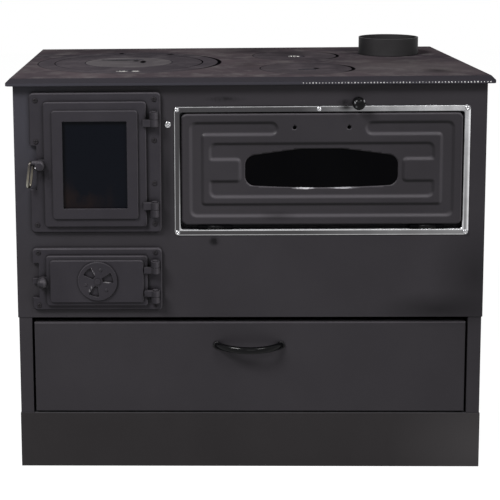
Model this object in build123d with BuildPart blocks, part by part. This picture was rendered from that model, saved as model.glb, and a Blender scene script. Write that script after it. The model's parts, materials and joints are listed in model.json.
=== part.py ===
from build123d import *
import os
from dataclasses import dataclass

# Wood-burning cookstove: a folded sheet-steel casing on a plinth with a log drawer, a glazed
# cast-iron fire door over a small ash door with an air rosette, a drop-down oven door in a bright
# trim, and a cast hob plate with lift-out rings, two small lids and a round flue collar.
# Millimetres. X runs to the viewer's right, Y away from the viewer, Z up. The origin is on the
# floor, under the centre of the overall box. Spans are (low, high) pairs.

# ---------------------------------------------------------------------------------------------
# Driving dimensions
# ---------------------------------------------------------------------------------------------

# Materials and play
sheet = 2.0                  # casing, base and drawer sheet
door_sheet = 1.5             # oven door sheet
pin_play = 0.05              # radial play of a pin or spindle in its eye
running_gap = 0.3            # between flat faces that slide or lift off each other
slip_gap = 1.0               # around a casting where it passes through sheet

# Front layout, left to right
edge_margin = 28.6           # casing edge to the door frame, and oven trim to casing edge
cast_frame_width = 233.5     # fire and ash door frames
frame_to_trim = 22.7
trim_width = 522.6

# Front layout, floor upwards
plinth_height = 101.5
drawer_bay_height = 181.0
ash_frame_lift = 15.8        # casing's lower edge to the ash door frame
ash_frame_height = 114.2
frame_spacing = 28.8         # ash door frame to fire door frame
fire_frame_height = 252.5
fire_frame_drop = 13.2       # fire door frame to the hob plate

# Casing and base
casing_depth = 496.0
casing_fold = 14.0           # width of the folded edges inside the casing
jamb_setback = 1.5           # base sides lie inside the casing by this much, and behind its front
jamb_width = 23.5
jamb_lip = 16.0
plinth_setback = 0.5
plinth_fold = 22.0

# Hob plate
side_overhang = 12.0
front_overhang = 16.0
rear_overhang = 8.0
plate_edge = 13.0            # full height of the plate's rim
plate_web = 8.0              # thickness between the ribs, and of rings and lids
plate_chamfer = 8.0
plate_corner = 9.0
rim_bearing = 10.0           # width of rim that bears on the casing
ring_x = 208.0               # ring set: centre from the plate's left edge
ring_y = 249.5               # ... and from its front edge
outer_ring_radius = 178.0
inner_ring_radius = 145.0
centre_disc_radius = 86.0
ledge = 6.0                  # how far each seat reaches under the piece that it carries
seat_wall = 10.0             # iron around each seat under the plate
ring_gap = 0.8               # visible joint around each ring and lid
small_lid_radius = 86.0
small_lid_x = 317.0          # small lids: centres from the plate's right edge
front_lid_y = 129.5
rear_lid_y = 348.0
lift_slot_length = 34.0
lift_slot_width = 12.0
lift_slot_depth = 5.0
lid_slot_y = -16.0           # slots of the small lids, from their centres
disc_slot_length = 85.0
disc_slot_offset = (-14.5, 46.0)       # from the disc's centre

# Flue collar
collar_radius = 60.0
collar_wall = 3.0
collar_height = 35.0         # above the hob
collar_x = 123.0             # centre from the plate's right edge
collar_y = 146.5             # ... and from its rear edge
collar_flange = 12.0
collar_flange_thickness = 3.0
collar_neck_inset = 1.5        # the collar is slimmer by this much where it passes through the plate
collar_bolt_count = 3

# Cast doors
frame_thickness = 8.0
frame_corner = 8.0
collar_iron = 5.0            # wall of the collar behind a door frame
collar_reach = 26.0
leaf_left_inset = 25.5       # door frame edge to door leaf
leaf_right_inset = 25.7
leaf_lap = 12.7              # how far a leaf overlaps its frame's opening
leaf_gap = 0.6
leaf_thickness = 6.0
leaf_corner = 6.0
raise_height = 4.0           # raised middle of a leaf
fire_raise_inset = 15.0      # leaf's edge to its raised middle
ash_raise_inset = 7.2
leaf_round = 2.0             # rounding of a leaf's front edges, and of its raised border
raise_round = 1.6
eye_radius = 8.0             # hinge knuckles
hinge_inset = 11.8           # hinge line from the frame's right edge
hinge_standoff = 9.5         # hinge line in front of the frame
pin_radius = 2.5
fire_eye_height = 12.6
ash_eye_height = 10.6
notch_depth = 12.2           # cut in a frame's left edge at the latch
fire_leaf_insets = (11.8, 15.4)        # frame's foot to the leaf's foot, and head to head
ash_leaf_insets = (9.8, 12.2)
fire_joint_insets = (32.4, 31.0)       # leaf's foot and head to the joints of its hinges
ash_joint_insets = (18.6, 19.6)
fire_notch_insets = (79.0, 94.0)       # frame's foot and head to the notch at the latch
ash_notch_insets = (23.0, 26.5)
ash_latch_drop = 2.2                   # ash latch below the middle of its leaf
fire_screw_drops = ((13.0, 87.0, 238.0), (12.0, 85.5, 163.0, 236.5))
ash_screw_drops = ((7.8, 105.0), (7.8, 105.0))
frame_screw_reach = 3.0                # end of a frame screw behind the casing's front sheet

# Latches
latch_inset = 6.5            # latch spindle outside the leaf's left edge
spindle_radius = 4.0
tongue_length = 18.0
tongue_width = 10.0
tongue_thickness = 3.0
hub_radius = 8.6
hub_length = 14.0
ash_knob_round = 7.0         # rounding of the ash latch's hub
loop_length = 50.0
loop_width = 17.0
loop_wire_radius = 2.3

# Fire door glass
fire_glass_border = 34.2     # leaf's edge to the glass opening
glass_lap = 7.0
glass_thickness = 4.0
rope_width = 6.0
rope_depth = 3.0

# Air rosette on the ash door
rosette_radius = 35.7
rosette_thickness = 3.5
rosette_offset = (1.8, 1.5)  # rosette's centre from the middle of the leaf
vent_count = 3
vent_inner_radius = 9.0
vent_outer_radius = 28.0
vent_half_angle = 20.0
first_vent_angle = 15.0
closing_turn = 60.0          # from the disc's vents to the leaf's when the rosette is shut
boss_radius = 2.8            # small bosses between the disc's vents
boss_ring = 22.0
boss_height = 1.2

# Oven
trim_height = 234.0
trim_drop = 39.5             # trim's top edge below the hob plate
trim_strip = 11.5
trim_thickness = 2.0
trim_top_screw_offset = -4.5 # middle upper screw of the trim from the oven's middle
panel_screw_offset = (10.5, 32.5)      # single screw to the left of the trim and below its head
oven_door_side_gap = 2.0
oven_door_top_gap = 2.0
oven_door_foot_gap = 8.5
oven_door_proud = 4.0        # door's face in front of the casing
oven_door_depth = 17.5
oven_door_corner = 9.0
emboss_depth = 3.0
band_inset = 16.5
band_width = 20.5
band_mouth = 157.0           # gap in the band at the top
figure_width = 394.0
figure_height = 95.5
figure_lift = 98.8           # figure's centre above the door's lower edge
figure_corner = 6.0
figure_notch_depth = 53.0
figure_notch_height = 40.0
window_width = 270.0
window_lift = 97.6           # window's centre above the door's lower edge
window_flat = 70.0           # level stretch at the window's top
window_rise = 13.2           # from the window's ends to that stretch
window_end_height = 52.3
window_sag = 4.5
window_corner = 18.0
handle_hole_spacing = 96.0
handle_hole_radius = 3.5
handle_hole_drop = 25.0
oven_rear_passage = 76.0     # oven's back to the casing's back
oven_margin = 12.0           # seat that the oven door closes on
oven_knuckle_radius = 3.0
oven_knuckle_length = 30.0
oven_hinge_inset = 60.0
oven_pin_radius = 1.6
rack_height = 85.0           # rack above the oven floor
rack_wire_radius = 2.5
rack_bar_radius = 1.6
rack_bar_count = 14

# Firebox, grate and ash
firebox_side_gap = 16.0      # casing side to firebox shell
firebox_end = 402.0          # depth of the firebox shell from the casing's front
brick_thickness = 30.0
brick_height = 216.0
brick_joint = 0.4
bricks_per_side = 3
grate_frame_thickness = 14.0
grate_height = 137.5         # grate's top above the casing's floor
grate_thickness = 9.0
grate_border = 60.0          # grate frame's iron beside the grate
grate_bar_count = 11
ash_wall_inset = 28.0        # firebox shell to the ash chamber's walls
ash_pan_height = 58.0
ash_pan_play = 4.0
guard_height = 46.0

# Smoke passages and damper
smoke_floor_drop = 55.0      # free height under the oven
damper_rod_radius = 4.0
damper_rod_drop = 33.6       # rod's line below the hob plate's underside
damper_rod_x = 190.3         # rod's line from the centre of the stove
knob_radius = 11.3
knob_length = 25.0
knob_standoff = 4.0
baffle_depth = 280.0         # smoke baffle's distance from the casing's front
damper_plate_width = 116.0
damper_plate_lap = 7.0

# Log drawer
drawer_side_gap = 4.0
drawer_foot_gap = 3.0
drawer_top_gap = 10.5
drawer_fold = 16.0
drawer_round = 1.8           # rounding of the drawer front's folded edges
drawer_box_inset = 13.0      # drawer front's edge to the drawer box
drawer_box_height = 124.0
drawer_box_depth = 436.0
drawer_box_lift = 3.5        # drawer box above the drawer front's lower edge
rail_height = 42.0           # drawer rail above the drawer box's floor
rail_thickness = 2.0
handle_reach = 33.0          # front of the drawer handle from the casing's front
handle_half_span = 58.0
handle_drop = 42.0           # handle below the drawer front's upper edge
handle_section = (4.6, 6.2)  # half depth and half height of the handle's bow
handle_end_reach = 4.0       # end of the bow beyond its screw

# Screws
screw_radius = 2.5
screw_head_radius = 4.6
screw_head_height = 2.2
screw_length = 9.0

# ---------------------------------------------------------------------------------------------
# Places that follow from them
# ---------------------------------------------------------------------------------------------

casing_width = 2 * edge_margin + cast_frame_width + frame_to_trim + trim_width
half = casing_width / 2
plate_width = casing_width + 2 * side_overhang

front = -(casing_depth + rear_overhang - handle_reach) / 2
back = front + casing_depth
inside_front = front + sheet
inside_back = back - sheet
plate_left = -plate_width / 2
plate_right = plate_width / 2
plate_front = front - front_overhang
plate_rear = back + rear_overhang

casing_foot = plinth_height + drawer_bay_height
ash_frame_z = (casing_foot + ash_frame_lift, casing_foot + ash_frame_lift + ash_frame_height)
fire_frame_foot = ash_frame_z[1] + frame_spacing
fire_frame_z = (fire_frame_foot, fire_frame_foot + fire_frame_height)
casing_top = fire_frame_z[1] + fire_frame_drop
plate_top = casing_top + plate_edge
web_foot = plate_top - plate_web
casing_floor_z = (casing_foot + sheet, casing_foot + 2 * sheet)

frame_x = (-half + edge_margin, -half + edge_margin + cast_frame_width)
leaf_x = (frame_x[0] + leaf_left_inset, frame_x[1] - leaf_right_inset)
opening_x = (leaf_x[0] + leaf_lap, leaf_x[1] - leaf_lap)
hinge_x = frame_x[1] - hinge_inset
hinge_y = front - frame_thickness - hinge_standoff
leaf_back = front - frame_thickness - leaf_gap
leaf_face = leaf_back - leaf_thickness
raised_face = leaf_face - raise_height
latch_x = leaf_x[0] - latch_inset

trim_x = (half - edge_margin - trim_width, half - edge_margin)
trim_z = (casing_top - trim_drop - trim_height, casing_top - trim_drop)
oven_mouth_x = (trim_x[0] + trim_strip, trim_x[1] - trim_strip)
oven_mouth_z = (trim_z[0] + trim_strip, trim_z[1] - trim_strip)
oven_door_x = (oven_mouth_x[0] + oven_door_side_gap, oven_mouth_x[1] - oven_door_side_gap)
oven_door_z = (oven_mouth_z[0] + oven_door_foot_gap, oven_mouth_z[1] - oven_door_top_gap)
oven_centre_x = (oven_door_x[0] + oven_door_x[1]) / 2
oven_face = front - oven_door_proud
oven_seat = oven_face + oven_door_depth + door_sheet + slip_gap
oven_inner_x = (oven_mouth_x[0] + oven_margin, oven_mouth_x[1] - oven_margin)
oven_inner_z = (oven_mouth_z[0] + oven_margin, oven_mouth_z[1] - oven_margin)
oven_back = back - oven_rear_passage
oven_top = oven_inner_z[1] + sheet
oven_foot = oven_inner_z[0] - sheet
oven_pin_y = front - oven_door_proud + oven_knuckle_radius
oven_pin_z = oven_door_z[0] - oven_knuckle_radius - slip_gap

firebox_x = (-half + firebox_side_gap, frame_x[1] + firebox_side_gap)
firebox_back = front + firebox_end
brick_x = (firebox_x[0] + sheet, firebox_x[1] - sheet)
grate_top = casing_floor_z[1] + grate_height
grate_frame_z = (grate_top - grate_frame_thickness, grate_top)
brick_front = front + collar_reach + 2 * slip_gap
brick_back = firebox_back - sheet - brick_thickness
smoke_floor_z = (oven_foot - smoke_floor_drop - sheet, oven_foot - smoke_floor_drop)
damper_rod_z = casing_top - damper_rod_drop
baffle_y = front + baffle_depth

base_half = half - jamb_setback
jamb_front = front + jamb_setback
bay_half = base_half - jamb_width
drawer_half = bay_half - drawer_side_gap
drawer_z = (plinth_height + drawer_foot_gap, casing_foot - drawer_top_gap)
drawer_box_half = drawer_half - drawer_box_inset
drawer_box_z = (drawer_z[0] + drawer_box_lift, drawer_z[0] + drawer_box_lift + drawer_box_height)
rail_z = (drawer_box_z[0] + rail_height, drawer_box_z[0] + rail_height + rail_thickness)
handle_z = drawer_z[1] - handle_drop


# ---------------------------------------------------------------------------------------------
# Helpers
# ---------------------------------------------------------------------------------------------

def middle(span):
    """Middle of a (low, high) span."""
    return (span[0] + span[1]) / 2


def grown(span, margin):
    """Span widened by a margin at both ends, or narrowed by a negative one."""
    return (span[0] - margin, span[1] + margin)


def inset(span, insets):
    """Span narrowed by its own inset at each end."""
    return (span[0] + insets[0], span[1] - insets[1])


def block(x, y, z, mode=Mode.ADD):
    """Box between three spans, added to the part under way."""
    with Locations((middle(x), middle(y), middle(z))):
        Box(x[1] - x[0], y[1] - y[0], z[1] - z[0], mode=mode)


def facing(y):
    """Upright plane at depth y that faces the viewer, X to the right and Z up."""
    return Plane.XZ.offset(-y)


def panel(x, z, y, thickness, corner, mode=Mode.ADD):
    """Upright plate with rounded corners, from depth y towards the viewer."""
    with BuildSketch(facing(y)) as outline:
        with Locations((middle(x), middle(z))):
            RectangleRounded(x[1] - x[0], z[1] - z[0], corner)
    extrude(outline.sketch, amount=thickness, mode=mode)


def peg(x, z, radius, y, length, mode=Mode.ADD):
    """Round bar or hole along Y, from depth y towards the viewer."""
    with BuildSketch(facing(y)) as circle:
        with Locations((x, z)):
            Circle(radius)
    extrude(circle.sketch, amount=length, mode=mode)


def post(x, y, radius, z, mode=Mode.ADD):
    """Round bar or hole along Z, over the span z."""
    with BuildSketch(Plane.XY.offset(z[0])) as circle:
        with Locations((x, y)):
            Circle(radius)
    extrude(circle.sketch, amount=z[1] - z[0], mode=mode)


def bar_along_x(y, z, radius, x, mode=Mode.ADD):
    """Round bar or hole along X, over the span x."""
    with BuildSketch(Plane.YZ.offset(x[0])) as circle:
        with Locations((y, z)):
            Circle(radius)
    extrude(circle.sketch, amount=x[1] - x[0], mode=mode)


def pan_head_screw(x, z, seat, length):
    """Screw with a low domed head whose underside lies at depth seat."""
    peg(x, z, screw_radius, seat + length, length)
    peg(x, z, screw_head_radius, seat, screw_head_height)
    crown = faces().sort_by(Axis.Y)[0].edges()
    fillet(crown, screw_head_height * 0.6)


def save(part, name):
    """Label a finished piece and write it under that name."""
    part.label = name
    export_step(part, f"parts/{name}.step")


os.makedirs("parts", exist_ok=True)

# ---------------------------------------------------------------------------------------------
# Plinth and base
# ---------------------------------------------------------------------------------------------

plinth_x = (-half + plinth_setback, half - plinth_setback)
plinth_y = (front + plinth_setback, back)

with BuildPart() as plinth:
    block(plinth_x, plinth_y, (0, plinth_height))
    block(grown(plinth_x, -sheet), grown(plinth_y, -sheet), (sheet, plinth_height), Mode.SUBTRACT)
    fold = (plinth_height - 2 * sheet, plinth_height - sheet)
    block(grown(plinth_x, -sheet), grown(plinth_y, -sheet), fold)
    well_x = grown(plinth_x, -plinth_fold)
    well_y = grown(plinth_y, -plinth_fold)
    block(well_x, well_y, (0, plinth_height), Mode.SUBTRACT)
save(plinth.part, "plinth")

with BuildPart() as base_floor:
    floor_x = grown(plinth_x, -sheet - running_gap)
    floor_y = grown(plinth_y, -sheet - running_gap)
    block(floor_x, floor_y, (plinth_height - sheet, plinth_height))
save(base_floor.part, "base_floor")

# Each base side is one folded sheet: side, front jamb with its lip, and a fold on top.
base_z = (plinth_height, casing_foot)
with BuildPart() as base_side_left:
    block((-base_half, -base_half + sheet), (jamb_front, back), base_z)
    block((-base_half, -bay_half), (jamb_front, jamb_front + sheet), base_z)
    block((-bay_half - sheet, -bay_half), (jamb_front, jamb_front + jamb_lip), base_z)
    top_fold = (casing_foot - sheet, casing_foot)
    block((-base_half, -base_half + casing_fold), (jamb_front, inside_back - running_gap), top_fold)
save(base_side_left.part, "base_side_left")

with BuildPart() as base_side_right:
    add(base_side_left.part.mirror(Plane.YZ))
save(base_side_right.part, "base_side_right")

with BuildPart() as base_back:
    block(grown((-base_half, base_half), -sheet), (inside_back, back), base_z)
save(base_back.part, "base_back")

# Channels on the base sides that carry the drawer's rails.
rail_reach = bay_half - drawer_box_half - slip_gap
channel_inner = drawer_box_half + slip_gap
channel_outer = drawer_box_half + rail_reach + slip_gap
channel_y = (jamb_front + sheet + drawer_fold + slip_gap, jamb_front + drawer_box_depth)
bracket_length = 30.0
with BuildPart() as drawer_runners:
    for side in (-1, 1):
        foot = rail_z[0] - running_gap - sheet
        head = rail_z[1] + running_gap + sheet
        web_x = sorted((side * channel_outer, side * (channel_outer + sheet)))
        lip_x = sorted((side * channel_inner, side * channel_outer))
        block(web_x, channel_y, (foot, head))
        block(lip_x, channel_y, (foot, foot + sheet))
        block(lip_x, channel_y, (head - sheet, head))
        arm_x = sorted((side * (channel_outer + sheet), side * (base_half - sheet)))
        for start in (channel_y[0], channel_y[1] - bracket_length):
            block(arm_x, (start, start + bracket_length), (foot, head))
save(drawer_runners.part, "drawer_runners")

# ---------------------------------------------------------------------------------------------
# Log drawer
# ---------------------------------------------------------------------------------------------

drawer_x = (-drawer_half, drawer_half)
with BuildPart() as drawer_front:
    block(drawer_x, (jamb_front, jamb_front + sheet + drawer_fold), drawer_z)
    fillet(drawer_front.faces().sort_by(Axis.Y)[0].edges(), drawer_round)
    pan_y = (jamb_front + sheet, jamb_front + sheet + drawer_fold)
    block(grown(drawer_x, -sheet), pan_y, grown(drawer_z, -sheet), Mode.SUBTRACT)
    for side in (-1, 1):
        peg(side * handle_half_span, handle_z, screw_radius + pin_play, jamb_front + sheet, sheet,
            Mode.SUBTRACT)
save(drawer_front.part, "drawer_front")

box_x = (-drawer_box_half, drawer_box_half)
box_y = (jamb_front + sheet, jamb_front + sheet + drawer_box_depth)
with BuildPart() as drawer_box:
    block(box_x, box_y, drawer_box_z)
    block(grown(box_x, -sheet), grown(box_y, -sheet), (drawer_box_z[0] + sheet, drawer_box_z[1]),
          Mode.SUBTRACT)
    for side in (-1, 1):
        rail_x = sorted((side * drawer_box_half, side * (drawer_box_half + rail_reach)))
        block(rail_x, (box_y[0] + drawer_fold + slip_gap, box_y[1]), rail_z)
        if handle_z - screw_head_radius < drawer_box_z[1]:
            peg(side * handle_half_span, handle_z, screw_head_radius + slip_gap, box_y[0] + sheet,
                sheet, Mode.SUBTRACT)
save(drawer_box.part, "drawer_box")

bow_y = front - handle_reach + handle_section[0]
bow_half_span = handle_half_span + handle_end_reach
bow_root = jamb_front + 2 * sheet        # the bow starts behind the drawer's face and is cut off at it
foot_radius = 7.0
foot_thickness = 3.0
with BuildPart() as drawer_handle:
    with BuildLine(Plane.XY.offset(handle_z)) as bow:
        ThreePointArc((-bow_half_span, bow_root), (0, bow_y), (bow_half_span, bow_root))
    bow_path = bow.wires()[0]
    with BuildSketch(Plane(bow_path @ 0, x_dir=(0, 0, 1), z_dir=bow_path % 0)):
        Ellipse(handle_section[1], handle_section[0])
    sweep(path=bow_path)
    block(grown((0, 0), 2 * bow_half_span), (jamb_front, jamb_front + 2 * handle_reach),
          grown((handle_z, handle_z), 4 * handle_section[1]), Mode.SUBTRACT)
    for side in (-1, 1):
        peg(side * handle_half_span, handle_z, foot_radius, jamb_front, foot_thickness)
        peg(side * handle_half_span, handle_z, screw_radius, jamb_front, foot_thickness, Mode.SUBTRACT)
save(drawer_handle.part, "drawer_handle")

# Screws from inside the drawer; each ends in its handle foot.
with BuildPart() as drawer_handle_screws:
    for side in (-1, 1):
        peg(side * handle_half_span, handle_z, screw_radius, jamb_front + sheet, sheet + foot_thickness)
        peg(side * handle_half_span, handle_z, screw_head_radius, jamb_front + sheet + screw_head_height,
            screw_head_height)
save(drawer_handle_screws.part, "drawer_handle_screws")

# ---------------------------------------------------------------------------------------------
# Casing
# ---------------------------------------------------------------------------------------------

casing_z = (casing_foot, casing_top)
side_fold_y = (inside_front + casing_fold + running_gap, inside_back)


def cast_screw_places(frame_z, drops):
    """Screw centres on a cast frame, from their drops below its head in each column."""
    left = [(frame_x[0] + hinge_inset, frame_z[1] - drop) for drop in drops[0]]
    right = [(hinge_x, frame_z[1] - drop) for drop in drops[1]]
    return left + right


fire_screws = cast_screw_places(fire_frame_z, fire_screw_drops)
ash_screws = cast_screw_places(ash_frame_z, ash_screw_drops)
trim_screw_inset = trim_strip / 2
trim_corner_screws = [
    (x, z) for x in grown(trim_x, -trim_screw_inset) for z in grown(trim_z, -trim_screw_inset)
]
trim_screws = trim_corner_screws + [
    (oven_centre_x + trim_top_screw_offset, trim_z[1] - trim_screw_inset)
]
panel_screw_place = (trim_x[0] - panel_screw_offset[0], trim_z[1] - panel_screw_offset[1])

fire_leaf_z = inset(fire_frame_z, fire_leaf_insets)
ash_leaf_z = inset(ash_frame_z, ash_leaf_insets)
fire_opening_z = grown(fire_leaf_z, -leaf_lap)
ash_opening_z = grown(ash_leaf_z, -leaf_lap)

with BuildPart() as front_panel:
    block((-half, half), (front, inside_front), casing_z)
    for fold_z in ((casing_top - sheet, casing_top), (casing_foot, casing_foot + sheet)):
        fold_x = grown((-half, half), -sheet - running_gap)
        block(fold_x, (inside_front, inside_front + casing_fold), fold_z)
    for hole_z in (fire_opening_z, ash_opening_z):
        hole_margin = collar_iron + slip_gap
        panel(grown(opening_x, hole_margin), grown(hole_z, hole_margin), inside_front, sheet,
              frame_corner, Mode.SUBTRACT)
    panel(grown(oven_mouth_x, slip_gap / 2), grown(oven_mouth_z, slip_gap / 2), inside_front, sheet,
          oven_door_corner / 2, Mode.SUBTRACT)
    for x, z in fire_screws + ash_screws + trim_screws + [panel_screw_place]:
        peg(x, z, screw_radius + pin_play, inside_front, sheet, Mode.SUBTRACT)
    peg(damper_rod_x, damper_rod_z, damper_rod_radius + 2 * pin_play, inside_front, sheet,
        Mode.SUBTRACT)
save(front_panel.part, "front_panel")

with BuildPart() as side_panel_left:
    block((-half, -half + sheet), (inside_front, back), casing_z)
    for fold_z in ((casing_top - sheet, casing_top), (casing_foot, casing_foot + sheet)):
        block((-half, -half + casing_fold), side_fold_y, fold_z)
save(side_panel_left.part, "side_panel_left")

with BuildPart() as side_panel_right:
    add(side_panel_left.part.mirror(Plane.YZ))
save(side_panel_right.part, "side_panel_right")

with BuildPart() as back_panel:
    block(grown((-half, half), -sheet), (inside_back, back), casing_z)
save(back_panel.part, "back_panel")

with BuildPart() as casing_floor:
    floor_x = grown((-half, half), -sheet - running_gap)
    floor_y = grown((inside_front, inside_back), -running_gap)
    block(floor_x, floor_y, casing_floor_z)
save(casing_floor.part, "casing_floor")

# ---------------------------------------------------------------------------------------------
# Hob plate, rings, lids and flue collar
# ---------------------------------------------------------------------------------------------

ring_centre = (plate_left + ring_x, plate_front + ring_y)
front_lid_centre = (plate_right - small_lid_x, plate_front + front_lid_y)
rear_lid_centre = (plate_right - small_lid_x, plate_front + rear_lid_y)
collar_centre = (plate_right - collar_x, plate_rear - collar_y)
seats = [
    (ring_centre, outer_ring_radius),
    (front_lid_centre, small_lid_radius),
    (rear_lid_centre, small_lid_radius),
]
rim_x = side_overhang + rim_bearing
rim_y = (front_overhang + rim_bearing, rear_overhang + rim_bearing)
collar_neck_radius = collar_radius - collar_neck_inset
collar_hole = collar_radius + running_gap
collar_wall_foot = plate_top + 2 * running_gap
seat_foot = casing_top
ring_foot = web_foot + running_gap
half_web = plate_web / 2
edge_break = 0.6

with BuildPart() as hob_plate:
    block((plate_left, plate_right), (plate_front, plate_rear), (casing_top, plate_top))
    fillet(hob_plate.edges().filter_by(Axis.Z), plate_corner)
    chamfer(hob_plate.faces().sort_by(Axis.Z)[-1].edges(), plate_chamfer)
    pocket_y = (plate_front + rim_y[0], plate_rear - rim_y[1])
    block(grown((plate_left, plate_right), -rim_x), pocket_y, (casing_top, web_foot), Mode.SUBTRACT)
    for (x, y), radius in seats:
        post(x, y, radius + seat_wall, (seat_foot, web_foot))
    for (x, y), radius in seats:
        post(x, y, radius, (web_foot, plate_top), Mode.SUBTRACT)
        post(x, y, radius - ledge, (seat_foot, web_foot), Mode.SUBTRACT)
    post(collar_centre[0], collar_centre[1], collar_hole, (seat_foot, plate_top), Mode.SUBTRACT)
    with BuildSketch(Plane.XY.offset(web_foot)):
        with Locations(collar_centre):
            with PolarLocations(collar_radius + collar_flange / 2, collar_bolt_count, start_angle=90):
                Circle(screw_radius + pin_play)
    extrude(amount=plate_web - slip_gap, mode=Mode.SUBTRACT)
save(hob_plate.part, "hob_plate")


def stepped_disc(centre, radius):
    """Disc that hangs on the seat around it by the upper half of its rim."""
    x, y = centre
    post(x, y, radius - ring_gap, (ring_foot + half_web, plate_top))
    post(x, y, radius - ledge - ring_gap, (ring_foot, ring_foot + half_web))
    break_top_edges()


def lift_slot(centre, length, angle=0.0):
    """Round-ended recess for the lid lifter, sunk in the top of a lid."""
    with BuildSketch(Plane.XY.offset(plate_top)) as slot:
        with Locations(centre):
            SlotOverall(length, lift_slot_width, rotation=angle)
    extrude(slot.sketch, amount=-lift_slot_depth, mode=Mode.SUBTRACT)


def break_top_edges():
    """Take the sharp arris off the upper rim of a ring or lid."""
    upper = faces().filter_by(Plane.XY).sort_by(Axis.Z)[-1]
    chamfer(upper.outer_wire().edges(), edge_break)


with BuildPart() as outer_ring:
    x, y = ring_centre
    post(x, y, outer_ring_radius - ring_gap, (ring_foot, plate_top))
    break_top_edges()
    post(x, y, inner_ring_radius, (web_foot + half_web, plate_top), Mode.SUBTRACT)
    post(x, y, inner_ring_radius - ledge, (ring_foot, plate_top), Mode.SUBTRACT)
save(outer_ring.part, "outer_ring")

with BuildPart() as inner_ring:
    stepped_disc(ring_centre, inner_ring_radius)
    post(x, y, centre_disc_radius, (web_foot + half_web, plate_top), Mode.SUBTRACT)
    post(x, y, centre_disc_radius - ledge, (ring_foot, plate_top), Mode.SUBTRACT)
    notch_y = ring_centre[1] - inner_ring_radius + 2 * ledge
    lift_slot((ring_centre[0], notch_y), lift_slot_length)
save(inner_ring.part, "inner_ring")

with BuildPart() as centre_disc:
    stepped_disc(ring_centre, centre_disc_radius)
    lift_slot((ring_centre[0] + disc_slot_offset[0], ring_centre[1] + disc_slot_offset[1]),
              disc_slot_length)
save(centre_disc.part, "centre_disc")

for lid_name, lid_centre in (("front_lid", front_lid_centre), ("rear_lid", rear_lid_centre)):
    with BuildPart() as small_lid:
        post(lid_centre[0], lid_centre[1], small_lid_radius - ring_gap, (ring_foot, plate_top))
        break_top_edges()
        lift_slot((lid_centre[0], lid_centre[1] + lid_slot_y), lift_slot_length)
    save(small_lid.part, lid_name)

collar_bore = collar_radius - collar_wall
flange_z = (web_foot - collar_flange_thickness, web_foot)
with BuildPart() as flue_collar:
    x, y = collar_centre
    post(x, y, collar_radius + collar_flange, flange_z)
    post(x, y, collar_neck_radius, (flange_z[0], collar_wall_foot))
    post(x, y, collar_radius, (collar_wall_foot, plate_top + collar_height))
    post(x, y, collar_bore, (flange_z[0], plate_top + collar_height), Mode.SUBTRACT)
    with BuildSketch(Plane.XY.offset(flange_z[0])):
        with Locations(collar_centre):
            with PolarLocations(collar_radius + collar_flange / 2, collar_bolt_count, start_angle=90):
                Circle(screw_radius + pin_play)
    extrude(amount=collar_flange_thickness, mode=Mode.SUBTRACT)
save(flue_collar.part, "flue_collar")

with BuildPart() as collar_bolts:
    with BuildSketch(Plane.XY.offset(flange_z[0])):
        with Locations(collar_centre):
            with PolarLocations(collar_radius + collar_flange / 2, collar_bolt_count, start_angle=90):
                Circle(screw_radius)
    extrude(amount=screw_length)
    with BuildSketch(Plane.XY.offset(flange_z[0])):
        with Locations(collar_centre):
            with PolarLocations(collar_radius + collar_flange / 2, collar_bolt_count, start_angle=90):
                RegularPolygon(screw_head_radius, 6)
    extrude(amount=-screw_head_height)
save(collar_bolts.part, "collar_bolts")

# ---------------------------------------------------------------------------------------------
# Cast door frames, leaves and hinges
# ---------------------------------------------------------------------------------------------


@dataclass(frozen=True)
class CastDoor:
    """Heights of one cast door: its frame, leaf, hinge eyes, latch and the notch beside it."""

    frame_z: tuple
    leaf_z: tuple
    joints_z: tuple          # heights between frame eye and leaf eye, at the lower and upper hinge
    eye_height: float
    latch_z: float
    notch_z: tuple
    screws: tuple
    raise_inset: float

    @property
    def opening_z(self):
        """Span of the frame's opening."""
        return grown(self.leaf_z, -leaf_lap)

    @property
    def frame_eyes(self):
        """Spans of the two eyes cast on the frame."""
        upper = self.joints_z[1] + running_gap
        lower = self.joints_z[0] - running_gap
        return ((upper, upper + self.eye_height), (lower - self.eye_height, lower))

    @property
    def leaf_eyes(self):
        """Spans of the two eyes cast on the leaf."""
        upper = self.joints_z[1] - running_gap
        lower = self.joints_z[0] + running_gap
        return ((upper - self.eye_height, upper), (lower, lower + self.eye_height))


fire = CastDoor(
    frame_z=fire_frame_z,
    leaf_z=fire_leaf_z,
    joints_z=inset(fire_leaf_z, fire_joint_insets),
    eye_height=fire_eye_height,
    latch_z=middle(fire_leaf_z),
    notch_z=inset(fire_frame_z, fire_notch_insets),
    screws=tuple(fire_screws),
    raise_inset=fire_raise_inset,
)
ash = CastDoor(
    frame_z=ash_frame_z,
    leaf_z=ash_leaf_z,
    joints_z=inset(ash_leaf_z, ash_joint_insets),
    eye_height=ash_eye_height,
    latch_z=middle(ash_leaf_z) - ash_latch_drop,
    notch_z=inset(ash_frame_z, ash_notch_insets),
    screws=tuple(ash_screws),
    raise_inset=ash_raise_inset,
)
tongue_back = front - frame_thickness + sheet + running_gap + tongue_thickness
tongue_room = slip_gap / 2
pocket_skin = frame_thickness - sheet


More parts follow.
